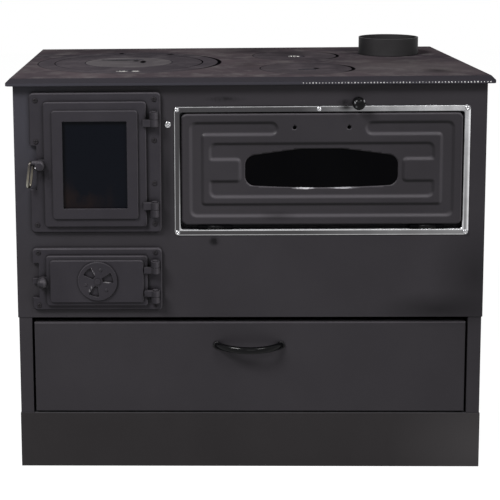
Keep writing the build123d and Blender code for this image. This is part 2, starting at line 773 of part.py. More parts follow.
def door_frame(door):
    """Cast frame screwed to the casing, with a collar through it and the fixed hinge eyes."""
    with BuildPart() as frame:
        panel(frame_x, door.frame_z, front, frame_thickness, frame_corner)
        chamfer(frame.faces().sort_by(Axis.Y)[0].edges(), sheet)
        notch_x = (frame_x[0] - slip_gap, frame_x[0] + notch_depth)
        block(notch_x, (front - frame_thickness, front), door.notch_z, Mode.SUBTRACT)
        panel(grown(opening_x, collar_iron), grown(door.opening_z, collar_iron), front + collar_reach,
              collar_reach, frame_corner - sheet)
        panel(opening_x, door.opening_z, front + collar_reach, collar_reach + frame_thickness,
              sheet, Mode.SUBTRACT)
        # Way out for the latch spindle and tongue, and the pocket that the tongue turns into.
        half_tongue = tongue_width / 2 + tongue_room
        slot_x = (frame_x[0], latch_x + half_tongue)
        slot_z = (door.latch_z - half_tongue, door.latch_z + half_tongue)
        block(slot_x, (front - frame_thickness, front), slot_z, Mode.SUBTRACT)
        pocket_x = (frame_x[0] + notch_depth - slip_gap, latch_x + half_tongue)
        pocket_z = (slot_z[0], door.latch_z + tongue_length + 2 * tongue_room)
        block(pocket_x, (front - pocket_skin, front), pocket_z, Mode.SUBTRACT)
        for eye in door.frame_eyes:
            post(hinge_x, hinge_y, eye_radius, eye)
            pad_x = grown((hinge_x, hinge_x), eye_radius - slip_gap)
            block(pad_x, (hinge_y, front - frame_thickness), eye)
            post(hinge_x, hinge_y, pin_radius + pin_play, eye, Mode.SUBTRACT)
        for x, z in door.screws:
            peg(x, z, screw_radius + pin_play, front, frame_thickness, Mode.SUBTRACT)
    return frame.part


save(door_frame(fire), "fire_door_frame")
save(door_frame(ash), "ash_door_frame")


def leaf_body(door):
    """Leaf plate with its hinge arms and latch lug, added to the part under way."""
    panel(leaf_x, door.leaf_z, leaf_back, leaf_thickness, leaf_corner)
    fillet(faces().sort_by(Axis.Y)[0].edges(), leaf_round)
    panel(grown(leaf_x, -door.raise_inset), grown(door.leaf_z, -door.raise_inset), leaf_face,
          raise_height, leaf_corner)
    fillet(faces().sort_by(Axis.Y)[0].edges(), raise_round)
    lug_z = grown((door.latch_z, door.latch_z), hub_radius + slip_gap)
    block((latch_x, leaf_x[0] + leaf_corner), (leaf_face, leaf_back), lug_z)
    peg(latch_x, door.latch_z, hub_radius + slip_gap, leaf_back, leaf_thickness)
    peg(latch_x, door.latch_z, spindle_radius + pin_play, leaf_back, leaf_thickness, Mode.SUBTRACT)
    for eye in door.leaf_eyes:
        post(hinge_x, hinge_y, eye_radius, eye)
        block((leaf_x[1] - leaf_corner, hinge_x), (hinge_y - eye_radius / 2, hinge_y + eye_radius / 2), eye)
        post(hinge_x, hinge_y, pin_radius + pin_play, eye, Mode.SUBTRACT)


glass_x = grown(leaf_x, -fire_glass_border)
glass_z = grown(fire_leaf_z, -fire_glass_border)
rope_outer_x = grown(leaf_x, -leaf_lap / 2 + rope_width / 2)
rope_outer_z = grown(fire_leaf_z, -leaf_lap / 2 + rope_width / 2)
rope_inner_x = grown(rope_outer_x, -rope_width)
rope_inner_z = grown(rope_outer_z, -rope_width)
groove_wall = 0.2

with BuildPart() as fire_door:
    leaf_body(fire)
    panel(glass_x, glass_z, leaf_back, leaf_thickness + raise_height, sheet, Mode.SUBTRACT)
    panel(grown(glass_x, glass_lap), grown(glass_z, glass_lap), leaf_back,
          glass_thickness + running_gap, sheet, Mode.SUBTRACT)
    with BuildSketch(facing(leaf_back)):
        with Locations((middle(leaf_x), middle(fire_leaf_z))):
            RectangleRounded(rope_outer_x[1] - rope_outer_x[0] + 2 * groove_wall,
                             rope_outer_z[1] - rope_outer_z[0] + 2 * groove_wall, leaf_corner)
            RectangleRounded(rope_inner_x[1] - rope_inner_x[0] - 2 * groove_wall,
                             rope_inner_z[1] - rope_inner_z[0] - 2 * groove_wall, sheet,
                             mode=Mode.SUBTRACT)
    extrude(amount=rope_depth + groove_wall, mode=Mode.SUBTRACT)
save(fire_door.part, "fire_door")

with BuildPart() as fire_door_gasket:
    rope_back = leaf_back + running_gap
    panel(rope_outer_x, rope_outer_z, rope_back, rope_depth + running_gap, leaf_corner)
    panel(rope_inner_x, rope_inner_z, rope_back, rope_depth + running_gap, sheet, Mode.SUBTRACT)
save(fire_door_gasket.part, "fire_door_gasket")

glass_play = 0.5
with BuildPart() as fire_door_glass:
    panel(grown(glass_x, glass_lap - glass_play), grown(glass_z, glass_lap - glass_play), leaf_back,
          glass_thickness, sheet)
save(fire_door_glass.part, "fire_door_glass")

# Spring clips screwed to the leaf's back at the corners of the glass.
clip_length = 22.0
clip_width = 10.0
with BuildPart() as fire_glass_clips:
    for x, side in ((glass_x[0] - glass_lap, -1), (glass_x[1] + glass_lap, 1)):
        for z in grown(glass_z, -clip_width):
            span = sorted((x + side * glass_lap, x + side * (glass_lap - clip_length)))
            block(span, (leaf_back, leaf_back + door_sheet), grown((z, z), clip_width / 2))
            peg(x + side * (glass_lap / 2), z, screw_radius, leaf_back + door_sheet + screw_head_height,
                screw_head_height)
save(fire_glass_clips.part, "fire_glass_clips")


def vents(y, depth, mode, shift=0.0):
    """Three wedge-shaped vents of the rosette, cut from depth y towards the viewer."""
    hub = (rosette_x, rosette_z)
    with BuildSketch(facing(y)) as wedges:
        for turn in range(vent_count):
            start = first_vent_angle + shift + turn * 360 / vent_count - vent_half_angle
            with BuildLine():
                inner = CenterArc(hub, vent_inner_radius, start, 2 * vent_half_angle)
                outer = CenterArc(hub, vent_outer_radius, start, 2 * vent_half_angle)
                Line(inner @ 0, outer @ 0)
                Line(inner @ 1, outer @ 1)
            make_face()
    extrude(wedges.sketch, amount=depth, mode=mode)


rosette_x = middle(leaf_x) + rosette_offset[0]
rosette_z = middle(ash_leaf_z) + rosette_offset[1]

with BuildPart() as ash_door:
    leaf_body(ash)
    vents(leaf_back, leaf_thickness + raise_height, Mode.SUBTRACT, closing_turn)
    peg(rosette_x, rosette_z, spindle_radius, leaf_back, leaf_thickness + raise_height, Mode.SUBTRACT)
save(ash_door.part, "ash_door")

disc_back = raised_face - running_gap
with BuildPart() as air_disc:
    peg(rosette_x, rosette_z, rosette_radius, disc_back, rosette_thickness)
    chamfer(air_disc.faces().sort_by(Axis.Y)[0].edges(), slip_gap)
    vents(disc_back, rosette_thickness, Mode.SUBTRACT)
    peg(rosette_x, rosette_z, spindle_radius + pin_play, disc_back, rosette_thickness, Mode.SUBTRACT)
    with BuildSketch(facing(disc_back - rosette_thickness)) as bosses:
        with Locations((rosette_x, rosette_z)):
            with PolarLocations(boss_ring, vent_count, start_angle=first_vent_angle + closing_turn):
                Circle(boss_radius)
    extrude(bosses.sketch, amount=boss_height, taper=20)
save(air_disc.part, "air_disc")

rivet_head = 1.5
with BuildPart() as air_disc_rivet:
    rivet_length = leaf_back - disc_back + rosette_thickness + running_gap
    peg(rosette_x, rosette_z, spindle_radius, leaf_back, rivet_length)
    peg(rosette_x, rosette_z, spindle_radius + rivet_head, leaf_back - rivet_length, rivet_head)
save(air_disc_rivet.part, "air_disc_rivet")

# One pin through each pair of eyes, with its head on the upper eye.
pin_head_height = 1.5
with BuildPart() as door_hinge_pins:
    for door in (fire, ash):
        for frame_eye, leaf_eye in zip(door.frame_eyes, door.leaf_eyes):
            top = max(frame_eye[1], leaf_eye[1])
            if top == frame_eye[1]:
                head_foot = top
            else:
                head_foot = top + running_gap
            post(hinge_x, hinge_y, pin_radius, (min(frame_eye[0], leaf_eye[0]), head_foot))
            post(hinge_x, hinge_y, 2 * pin_radius, (head_foot, head_foot + pin_head_height))
save(door_hinge_pins.part, "door_hinge_pins")

# ---------------------------------------------------------------------------------------------
# Latches
# ---------------------------------------------------------------------------------------------

hub_back = leaf_face - running_gap


def latch_body(door):
    """Spindle through the leaf's lug with its tongue behind the lug and a hub in front."""
    peg(latch_x, door.latch_z, spindle_radius, tongue_back, tongue_back - hub_back)
    peg(latch_x, door.latch_z, tongue_width / 2, tongue_back, tongue_thickness)
    block((latch_x - tongue_length, latch_x), (tongue_back - tongue_thickness, tongue_back),
          grown((door.latch_z, door.latch_z), tongue_width / 2))
    peg(latch_x, door.latch_z, hub_radius, hub_back, hub_length)


ear_drop = 5.0               # handle ear above the spindle
ear_reach = 14.5             # ... and to its left
ear_depth = 7.0              # behind the hub's front
ear_y = hub_back - hub_length + ear_depth
loop_lean = 7.0              # leans to the left as it hangs
loop_turn = 22.0             # its front strand turned to the left
loop_top = (latch_x - ear_reach, ear_y, fire.latch_z + ear_drop)


def wire_loop(radius, mode=Mode.ADD):
    """Bright wire loop that hangs from the ear, seen almost edge on from the front."""
    hang = Plane(
        loop_top,
        x_dir=Vector(0, 1, 0).rotate(Axis.Z, -loop_turn).rotate(Axis.Y, loop_lean),
        z_dir=Vector(1, 0, 0).rotate(Axis.Z, -loop_turn).rotate(Axis.Y, loop_lean),
    )
    half_width = loop_width / 2 - loop_wire_radius
    straight = loop_length - loop_width
    top_y = loop_wire_radius - half_width
    with BuildLine(hang, mode=Mode.PRIVATE) as loop:
        top_arc = CenterArc((0, top_y), half_width, 0, 180)
        Line(top_arc @ 1, (-half_width, top_y - straight))
        foot_arc = CenterArc((0, top_y - straight), half_width, 180, 180)
        Line(foot_arc @ 1, top_arc @ 0)
    path = loop.wires()[0]
    with BuildSketch(Plane(path @ 0, z_dir=path % 0)) as section:
        Circle(radius)
    sweep(section.sketch, path=path, mode=mode)


with BuildPart() as fire_latch:
    latch_body(fire)
    chamfer(fire_latch.faces().sort_by(Axis.Y)[0].edges(), 2 * slip_gap)
    bar_along_x(ear_y, fire.latch_z + ear_drop, 2 * loop_wire_radius,
                (latch_x - ear_reach - loop_wire_radius, latch_x))
    wire_loop(loop_wire_radius + pin_play, Mode.SUBTRACT)
save(fire_latch.part, "fire_latch")

with BuildPart() as fire_latch_handle:
    wire_loop(loop_wire_radius)
save(fire_latch_handle.part, "fire_latch_handle")

with BuildPart() as ash_latch:
    latch_body(ash)
    fillet(ash_latch.faces().sort_by(Axis.Y)[0].edges(), ash_knob_round)
save(ash_latch.part, "ash_latch")

with BuildPart() as frame_screws:
    for x, z in fire_screws + ash_screws:
        peg(x, z, screw_radius, inside_front + frame_screw_reach, frame_thickness + sheet + frame_screw_reach)
        peg(x, z, screw_head_radius, front - frame_thickness, screw_head_height)
save(frame_screws.part, "frame_screws")

# ---------------------------------------------------------------------------------------------
# Oven
# ---------------------------------------------------------------------------------------------

with BuildPart() as oven_trim:
    panel(trim_x, trim_z, front, trim_thickness, oven_door_corner - sheet)
    panel(oven_mouth_x, oven_mouth_z, front, trim_thickness, oven_door_corner / 2, Mode.SUBTRACT)
    chamfer(oven_trim.faces().sort_by(Axis.Y)[0].edges(), trim_thickness / 2)
    for x, z in trim_screws:
        peg(x, z, screw_radius + pin_play, front, trim_thickness, Mode.SUBTRACT)
save(oven_trim.part, "oven_trim")

with BuildPart() as oven_trim_screws:
    for x, z in trim_screws:
        pan_head_screw(x, z, front - trim_thickness, screw_length)
save(oven_trim_screws.part, "oven_trim_screws")

with BuildPart() as panel_screw:
    pan_head_screw(panel_screw_place[0], panel_screw_place[1], front, screw_length)
save(panel_screw.part, "panel_screw")

seat_y = (oven_seat, oven_seat + sheet)
rack_z = oven_inner_z[0] + rack_height
ledge_width = 9.0
with BuildPart() as oven_box:
    block(grown(oven_mouth_x, trim_strip), (inside_front, inside_front + sheet),
          grown(oven_mouth_z, trim_strip))
    mouth_shell = slip_gap / 2 + sheet
    block(grown(oven_mouth_x, mouth_shell), (inside_front, seat_y[1]), grown(oven_mouth_z, mouth_shell))
    block(grown(oven_inner_x, sheet), (seat_y[0], oven_back), grown(oven_inner_z, sheet))
    for x in (oven_inner_x[0] + sheet, oven_inner_x[1] - 2 * sheet):
        foot_y = (oven_back - bracket_length, oven_back)
        block((x, x + sheet), foot_y, (smoke_floor_z[1], oven_foot))
    block(grown(oven_mouth_x, slip_gap / 2), (inside_front, seat_y[0]),
          grown(oven_mouth_z, slip_gap / 2), Mode.SUBTRACT)
    block(oven_inner_x, (inside_front, oven_back - sheet), oven_inner_z, Mode.SUBTRACT)
    # Ledges that carry the rack. They start behind the door, and screw holes lie in the flange.
    ledge_y = (seat_y[1], oven_back - sheet)
    for span in ((oven_inner_x[0], oven_inner_x[0] + ledge_width),
                 (oven_inner_x[1] - ledge_width, oven_inner_x[1])):
        block(span, ledge_y, (rack_z - sheet, rack_z))
    for x, z in trim_screws:
        peg(x, z, screw_radius + pin_play, inside_front + sheet, sheet, Mode.SUBTRACT)
save(oven_box.part, "oven_box")

# Wire rack: one outer loop with straight bars laid on it.
rack_x = grown(oven_inner_x, -2 * slip_gap)
rack_y = (seat_y[1] + ledge_width, oven_back - 2 * ledge_width)
wire_z = rack_z + rack_wire_radius + running_gap / 2
rack_corner = 20.0
with BuildPart() as oven_rack:
    reach_y = grown(rack_y, -rack_wire_radius)
    for side_x in grown(rack_x, -rack_wire_radius):
        with BuildLine(Plane.XY.offset(wire_z)) as half_rim:
            FilletPolyline((middle(rack_x), reach_y[0]), (side_x, reach_y[0]),
                           (side_x, reach_y[1]), (middle(rack_x), reach_y[1]), radius=rack_corner)
        start = half_rim.wires()[0]
        with BuildSketch(Plane(start @ 0, z_dir=start % 0)):
            Circle(rack_wire_radius)
        sweep(path=start)
    bar_span = (rack_y[0] + rack_wire_radius, rack_y[1] - rack_wire_radius)
    bar_pitch = (rack_x[1] - rack_x[0]) / (rack_bar_count + 1)
    with BuildSketch(facing(bar_span[1])):
        with Locations((middle(rack_x), wire_z)):
            with GridLocations(bar_pitch, 1, rack_bar_count, 1):
                Circle(rack_bar_radius)
    extrude(amount=bar_span[1] - bar_span[0])
save(oven_rack.part, "oven_rack")


def band_outline():
    """C-shaped band: a rounded ring open at the middle of its top, with round ends."""
    outer_x = grown(oven_door_x, -band_inset)
    outer_z = grown(oven_door_z, -band_inset)
    with BuildSketch(facing(0)) as band:
        with Locations((oven_centre_x, middle(oven_door_z))):
            RectangleRounded(outer_x[1] - outer_x[0], outer_z[1] - outer_z[0], band_width / 2)
            RectangleRounded(outer_x[1] - outer_x[0] - 2 * band_width,
                             outer_z[1] - outer_z[0] - 2 * band_width, band_width / 4,
                             mode=Mode.SUBTRACT)
        end_z = outer_z[1] - band_width / 2
        with Locations((oven_centre_x, end_z)):
            Rectangle(band_mouth + band_width, band_width, mode=Mode.SUBTRACT)
        with Locations((oven_centre_x, end_z)):
            with GridLocations(band_mouth + band_width, 1, 2, 1):
                Circle(band_width / 2)
    return band.sketch


def figure_outline():
    """Wide figure round the window, notched at both ends."""
    with BuildSketch(facing(0)) as figure:
        with Locations((oven_centre_x, figure_z)):
            Rectangle(figure_width, figure_height)
            with GridLocations(figure_width, 1, 2, 1):
                Rectangle(2 * figure_notch_depth, figure_notch_height, mode=Mode.SUBTRACT)
        fillet(figure.vertices(), figure_corner)
    return figure.sketch


def window_outline(margin=0.0):
    """Window: round ends, a top that rises to a level stretch, and a gently sagging foot."""
    left, right = grown((oven_centre_x, oven_centre_x), window_width / 2 + margin)
    flat_left, flat_right = grown((oven_centre_x, oven_centre_x), window_flat / 2)
    foot, shoulder = grown((window_z, window_z), window_end_height / 2 + margin)
    crown = shoulder + window_rise
    with BuildSketch(facing(0)) as window:
        with BuildLine():
            Polyline((left, foot), (left, shoulder), (flat_left, crown), (flat_right, crown),
                     (right, shoulder), (right, foot))
            ThreePointArc((right, foot), (oven_centre_x, foot - window_sag), (left, foot))
        make_face()
        ends = window.vertices().group_by(Axis.X)
        fillet(ends[0] + ends[-1], window_corner)
    return window.sketch


def sink(outline, y, depth, mode):
    """Extrude an outline drawn in the front plane from depth y towards the viewer."""
    extrude(outline.moved(Location((0, y, 0))), amount=depth, mode=mode)


figure_z = oven_door_z[0] + figure_lift
window_z = oven_door_z[0] + window_lift
wall_y = oven_face + door_sheet

with BuildPart() as oven_door_outer:
    panel(oven_door_x, oven_door_z, oven_face + oven_door_depth, oven_door_depth, oven_door_corner)
    fillet(oven_door_outer.faces().sort_by(Axis.Y)[0].edges(), 2 * door_sheet)
    panel(grown(oven_door_x, -door_sheet), grown(oven_door_z, -door_sheet),
          oven_face + oven_door_depth, oven_door_depth - door_sheet, oven_door_corner - door_sheet,
          Mode.SUBTRACT)
    for outline in (band_outline(), figure_outline()):
        backing = offset(outline, door_sheet, kind=Kind.ARC, mode=Mode.PRIVATE)
        sink(backing, wall_y + emboss_depth, emboss_depth, Mode.ADD)
    for outline in (band_outline(), figure_outline()):
        sink(outline, oven_face + emboss_depth, emboss_depth, Mode.SUBTRACT)
    sink(window_outline(), wall_y + emboss_depth, emboss_depth + door_sheet, Mode.SUBTRACT)
    with BuildSketch(facing(wall_y)):
        with Locations((oven_centre_x, oven_door_z[1] - handle_hole_drop)):
            with GridLocations(handle_hole_spacing, 1, 2, 1):
                Circle(handle_hole_radius)
    extrude(amount=door_sheet, mode=Mode.SUBTRACT)
    for x in grown(oven_door_x, -oven_hinge_inset):
        knuckle_x = grown((x, x), oven_knuckle_length / 2)
        bar_along_x(oven_pin_y, oven_pin_z, oven_knuckle_radius, knuckle_x)
        block(knuckle_x, (oven_pin_y - slip_gap, oven_pin_y + oven_knuckle_radius),
              (oven_pin_z, oven_door_z[0] + door_sheet))
        bar_along_x(oven_pin_y, oven_pin_z, oven_pin_radius + pin_play, knuckle_x, Mode.SUBTRACT)
save(oven_door_outer.part, "oven_door_outer")

glass_margin = 9.0
oven_glass_y = wall_y + emboss_depth
with BuildPart() as oven_glass:
    sink(window_outline(glass_margin), oven_glass_y + glass_thickness, glass_thickness, Mode.ADD)
save(oven_glass.part, "oven_glass")

# Inner sheet closes the back of the oven door; its well presses on the glass.
liner_y = oven_face + oven_door_depth
well_margin = glass_margin + 2 * door_sheet
with BuildPart() as oven_door_inner:
    panel(grown(oven_door_x, -slip_gap / 2), grown(oven_door_z, -slip_gap / 2), liner_y + door_sheet,
          door_sheet, oven_door_corner)
    sink(window_outline(well_margin), liner_y, liner_y - oven_glass_y - glass_thickness, Mode.ADD)
    sink(window_outline(well_margin - door_sheet), liner_y + door_sheet,
         liner_y - oven_glass_y - glass_thickness, Mode.SUBTRACT)
    sink(window_outline(), liner_y + door_sheet, liner_y + door_sheet - oven_glass_y - glass_thickness,
         Mode.SUBTRACT)
save(oven_door_inner.part, "oven_door_inner")

# Fixed halves of the oven hinges: two short eyes on a leaf that lies in the oven's mouth.
leaf_foot = oven_mouth_z[0] - slip_gap / 2
with BuildPart() as oven_hinge_leaves:
    for x in grown(oven_door_x, -oven_hinge_inset):
        for side in (-1, 1):
            inner = x + side * (oven_knuckle_length / 2 + running_gap)
            span = sorted((inner, inner + side * oven_knuckle_length / 2))
            bar_along_x(oven_pin_y, oven_pin_z, oven_knuckle_radius, span)
            riser_y = (front + running_gap, inside_front + sheet)
            block(span, riser_y, (oven_mouth_z[0] + running_gap, oven_pin_z))
            bar_along_x(oven_pin_y, oven_pin_z, oven_pin_radius + pin_play, span, Mode.SUBTRACT)
        leaf_span = grown((x, x), oven_knuckle_length + running_gap)
        block(leaf_span, (inside_front + running_gap, oven_seat - running_gap),
              (leaf_foot, leaf_foot + door_sheet))
save(oven_hinge_leaves.part, "oven_hinge_leaves")

with BuildPart() as oven_hinge_pins:
    for x in grown(oven_door_x, -oven_hinge_inset):
        bar_along_x(oven_pin_y, oven_pin_z, oven_pin_radius, grown((x, x), oven_knuckle_length))
save(oven_hinge_pins.part, "oven_hinge_pins")

# ---------------------------------------------------------------------------------------------
# Firebox, grate and ash chamber
# ---------------------------------------------------------------------------------------------

shell_foot = casing_floor_z[1]
shell_head = casing_top - slip_gap
with BuildPart() as firebox_shell:
    shell_y = (inside_front + casing_fold + slip_gap, firebox_back)
    block((firebox_x[0], firebox_x[0] + sheet), shell_y, (shell_foot, shell_head))
    block((firebox_x[1] - sheet, firebox_x[1]), shell_y, (shell_foot, oven_top))
    block(firebox_x, (firebox_back - sheet, firebox_back), (shell_foot, shell_head))
save(firebox_shell.part, "firebox_shell")

ash_x = grown(brick_x, -ash_wall_inset)
ash_floor_z = (ash_opening_z[0] - sheet, ash_opening_z[0])
ash_end = firebox_back - sheet - 2 * brick_thickness
ash_y = (front + collar_reach + slip_gap, ash_end)
ash_wall_z = (shell_foot, grate_frame_z[0])
with BuildPart() as ash_chamber:
    block((ash_x[0] - sheet, ash_x[0]), ash_y, ash_wall_z)
    block((ash_x[1], ash_x[1] + sheet), ash_y, ash_wall_z)
    block(grown(ash_x, sheet), (ash_end, ash_end + sheet), ash_wall_z)
    block(ash_x, ash_y, ash_floor_z)
save(ash_chamber.part, "ash_chamber")

pan_x = grown(opening_x, -ash_pan_play)
pan_y = (ash_y[0] + slip_gap, ash_end - slip_gap)
pan_z = (ash_floor_z[1] + running_gap, ash_floor_z[1] + running_gap + ash_pan_height)
with BuildPart() as ash_pan:
    block(pan_x, pan_y, pan_z)
    block(grown(pan_x, -door_sheet), grown(pan_y, -door_sheet), (pan_z[0] + door_sheet, pan_z[1]),
          Mode.SUBTRACT)
    grip_z = middle(pan_z)
    grip_reach = 14.0
    with BuildLine(Plane.XY.offset(grip_z)) as grip:
        FilletPolyline(
            (middle(pan_x) - bracket_length, pan_y[0] + door_sheet / 2),
            (middle(pan_x) - bracket_length, pan_y[0] - grip_reach),
            (middle(pan_x) + bracket_length, pan_y[0] - grip_reach),
            (middle(pan_x) + bracket_length, pan_y[0] + door_sheet / 2),
            radius=6.0,
        )
    grip_start = grip.wires()[0] @ 0
    with BuildSketch(Plane(grip_start, (1, 0, 0), (0, -1, 0))):
        Circle(rack_wire_radius)
    sweep(path=grip.wires()[0])
save(ash_pan.part, "ash_pan")

grate_frame_x = grown(brick_x, -running_gap)
grate_frame_y = (front + collar_reach + slip_gap, firebox_back - sheet - running_gap)
well_x = grown(grate_frame_x, -grate_border)
well_y = (grate_frame_y[0] + grate_border / 2, grate_frame_y[1] - grate_border)
grate_lip = 8.0
with BuildPart() as grate_frame:
    block(grate_frame_x, grate_frame_y, grate_frame_z)
    block(well_x, well_y, grate_frame_z, Mode.SUBTRACT)
    block(grown(well_x, grate_lip), grown(well_y, grate_lip),
          (grate_top - grate_thickness - running_gap, grate_top), Mode.SUBTRACT)
save(grate_frame.part, "grate_frame")

grate_x = grown(well_x, grate_lip - slip_gap)
grate_y = grown(well_y, grate_lip - slip_gap)
slot_pitch = (well_x[1] - well_x[0]) / grate_bar_count
with BuildPart() as grate:
    block(grate_x, grate_y, (grate_top - grate_thickness, grate_top))
    with BuildSketch(Plane.XY.offset(grate_top - grate_thickness)):
        with Locations((middle(well_x), middle(well_y))):
            with GridLocations(slot_pitch, 1, grate_bar_count, 1):
                SlotOverall(well_y[1] - well_y[0] - 2 * slot_pitch, slot_pitch / 2, rotation=90)
    extrude(amount=grate_thickness, mode=Mode.SUBTRACT)
save(grate.part, "grate")

# Firebricks stand on the grate frame along both sides and across the back.
brick_z = (grate_top, grate_top + brick_height)
side_length = (brick_back - brick_front) / bricks_per_side
with BuildPart() as firebricks:
    for column in range(bricks_per_side):
        start = brick_front + column * side_length
        span = (start, start + side_length - brick_joint)
        for x in ((brick_x[0] + brick_joint, brick_x[0] + brick_thickness),
                  (brick_x[1] - brick_thickness, brick_x[1] - brick_joint)):
            block(x, span, brick_z)
    for x in ((brick_x[0] + brick_joint, middle(brick_x) - brick_joint),
              (middle(brick_x), brick_x[1] - brick_joint)):
        block(x, (brick_back, firebox_back - sheet - brick_joint), brick_z)
    chamfer(firebricks.edges().filter_by(Axis.Z), sheet)
save(firebricks.part, "firebricks")

with BuildPart() as log_guard:
    guard_x = grown(brick_x, -brick_thickness - slip_gap)
    guard_y = (brick_front, brick_front + frame_thickness)
    block(guard_x, guard_y, (grate_top, grate_top + guard_height))
    top_edges = log_guard.faces().sort_by(Axis.Z)[-1].edges().filter_by(Axis.X)
    fillet(top_edges, sheet)
save(log_guard.part, "log_guard")

# ---------------------------------------------------------------------------------------------
# Smoke passages and flue damper
# ---------------------------------------------------------------------------------------------

with BuildPart() as smoke_floor:
    floor_x = (firebox_x[1] + running_gap, half - sheet - running_gap)
    floor_y = (inside_front + casing_fold + slip_gap, inside_back - running_gap)
    block(floor_x, floor_y, smoke_floor_z)
    for x in ((floor_x[0], floor_x[0] + sheet), (floor_x[1] - sheet, floor_x[1])):
        block(x, floor_y, (shell_foot, smoke_floor_z[1]))
save(smoke_floor.part, "smoke_floor")

gate_z = (oven_top + 2 * damper_plate_lap, casing_top - 2 * damper_plate_lap)
gate_half = damper_plate_width / 2 - damper_plate_lap
with BuildPart() as smoke_baffle:
    block((firebox_x[1] + running_gap, half - sheet - running_gap), (baffle_y, baffle_y + sheet),
          (oven_top, casing_top - sheet - running_gap))
    block(grown((damper_rod_x, damper_rod_x), gate_half), (baffle_y, baffle_y + sheet), gate_z,
          Mode.SUBTRACT)
save(smoke_baffle.part, "smoke_baffle")

plate_back = baffle_y - running_gap
with BuildPart() as damper_plate:
    block(grown((damper_rod_x, damper_rod_x), damper_plate_width / 2), (plate_back - sheet, plate_back),
          (oven_top + running_gap, gate_z[1] + damper_plate_lap))
    peg(damper_rod_x, damper_rod_z, 2 * damper_rod_radius, plate_back - sheet, 3 * damper_rod_radius)
    peg(damper_rod_x, damper_rod_z, damper_rod_radius, plate_back, 4 * damper_rod_radius, Mode.SUBTRACT)
save(damper_plate.part, "damper_plate")

knob_back = front - knob_standoff
with BuildPart() as damper_rod:
    peg(damper_rod_x, damper_rod_z, damper_rod_radius, plate_back, plate_back - knob_back + knob_length / 2)
save(damper_rod.part, "damper_rod")

neck_radius = 7.0
neck_length = 6.0
with BuildPart() as damper_knob:
    peg(damper_rod_x, damper_rod_z, neck_radius, knob_back, neck_length)
    peg(damper_rod_x, damper_rod_z, knob_radius, knob_back - neck_length, knob_length - neck_length)
    rims = damper_knob.edges().filter_by(GeomType.CIRCLE).group_by(SortBy.RADIUS)[-1].sort_by(Axis.Y)
    fillet(rims[:1], knob_radius - neck_length / 2)
    fillet(rims[1:], knob_radius - neck_radius - slip_gap)
    peg(damper_rod_x, damper_rod_z, damper_rod_radius, knob_back, knob_length / 2, Mode.SUBTRACT)
save(damper_knob.part, "damper_knob")
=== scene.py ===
"""Finishes, fine pieces, studio and camera for a wood-burning cookstove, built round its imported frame.

Lengths are millimetres in the stove's own frame: X to the viewer's right, Y away from the viewer, Z up,
origin on the floor under the centre of the overall box. They become metres where Blender takes them.
The studio's own places and sizes are metres.
"""

import json
import logging
import math
from dataclasses import dataclass
from enum import Enum
from typing import Callable, Iterable, Optional, Sequence

import bmesh
import bpy
import numpy as np
from mathutils import Matrix, Vector

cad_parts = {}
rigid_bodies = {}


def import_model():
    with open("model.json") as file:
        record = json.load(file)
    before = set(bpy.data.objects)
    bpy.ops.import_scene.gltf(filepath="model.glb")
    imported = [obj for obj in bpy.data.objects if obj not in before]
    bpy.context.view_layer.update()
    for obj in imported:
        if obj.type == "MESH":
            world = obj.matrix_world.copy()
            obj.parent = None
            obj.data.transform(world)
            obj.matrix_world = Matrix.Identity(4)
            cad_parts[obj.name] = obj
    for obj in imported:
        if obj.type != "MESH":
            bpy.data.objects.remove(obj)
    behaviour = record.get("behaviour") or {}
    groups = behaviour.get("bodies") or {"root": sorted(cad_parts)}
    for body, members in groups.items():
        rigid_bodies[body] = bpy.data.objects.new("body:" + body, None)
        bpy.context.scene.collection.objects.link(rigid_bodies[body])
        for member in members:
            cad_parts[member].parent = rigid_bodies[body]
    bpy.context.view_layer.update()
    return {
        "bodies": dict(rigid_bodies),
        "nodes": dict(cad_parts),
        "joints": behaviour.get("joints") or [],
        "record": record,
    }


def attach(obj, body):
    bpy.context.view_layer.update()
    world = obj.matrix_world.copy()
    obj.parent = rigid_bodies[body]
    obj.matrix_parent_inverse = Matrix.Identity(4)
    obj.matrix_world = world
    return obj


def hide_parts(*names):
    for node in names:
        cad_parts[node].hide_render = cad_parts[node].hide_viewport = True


LOG = logging.getLogger("cookstove")
MM = 0.001
CASING_FACE = -235.5             # Y of the casing's front sheet
PLATE_TOP = 720.0                # Z of the hob plate's upper face

Colour = tuple[float, float, float]
Point = tuple[float, float, float]
Span = tuple[float, float]
Socket = bpy.types.NodeSocket


def linear(red: int, green: int, blue: int) -> Colour:
    """Return the linear colour of an 8-bit display colour.

    Args:
        red: Red from 0 to 255.
        green: Green from 0 to 255.
        blue: Blue from 0 to 255.

    Returns:
        The same colour in Blender's linear values.
    """
    def channel(value: int) -> float:
        """Return one linear channel."""
        share = value / 255.0
        return share / 12.92 if share <= 0.04045 else ((share + 0.055) / 1.055) ** 2.4

    return (channel(red), channel(green), channel(blue))


# ------------------------------------------------------------------------------------------------
# Node tools
# ------------------------------------------------------------------------------------------------


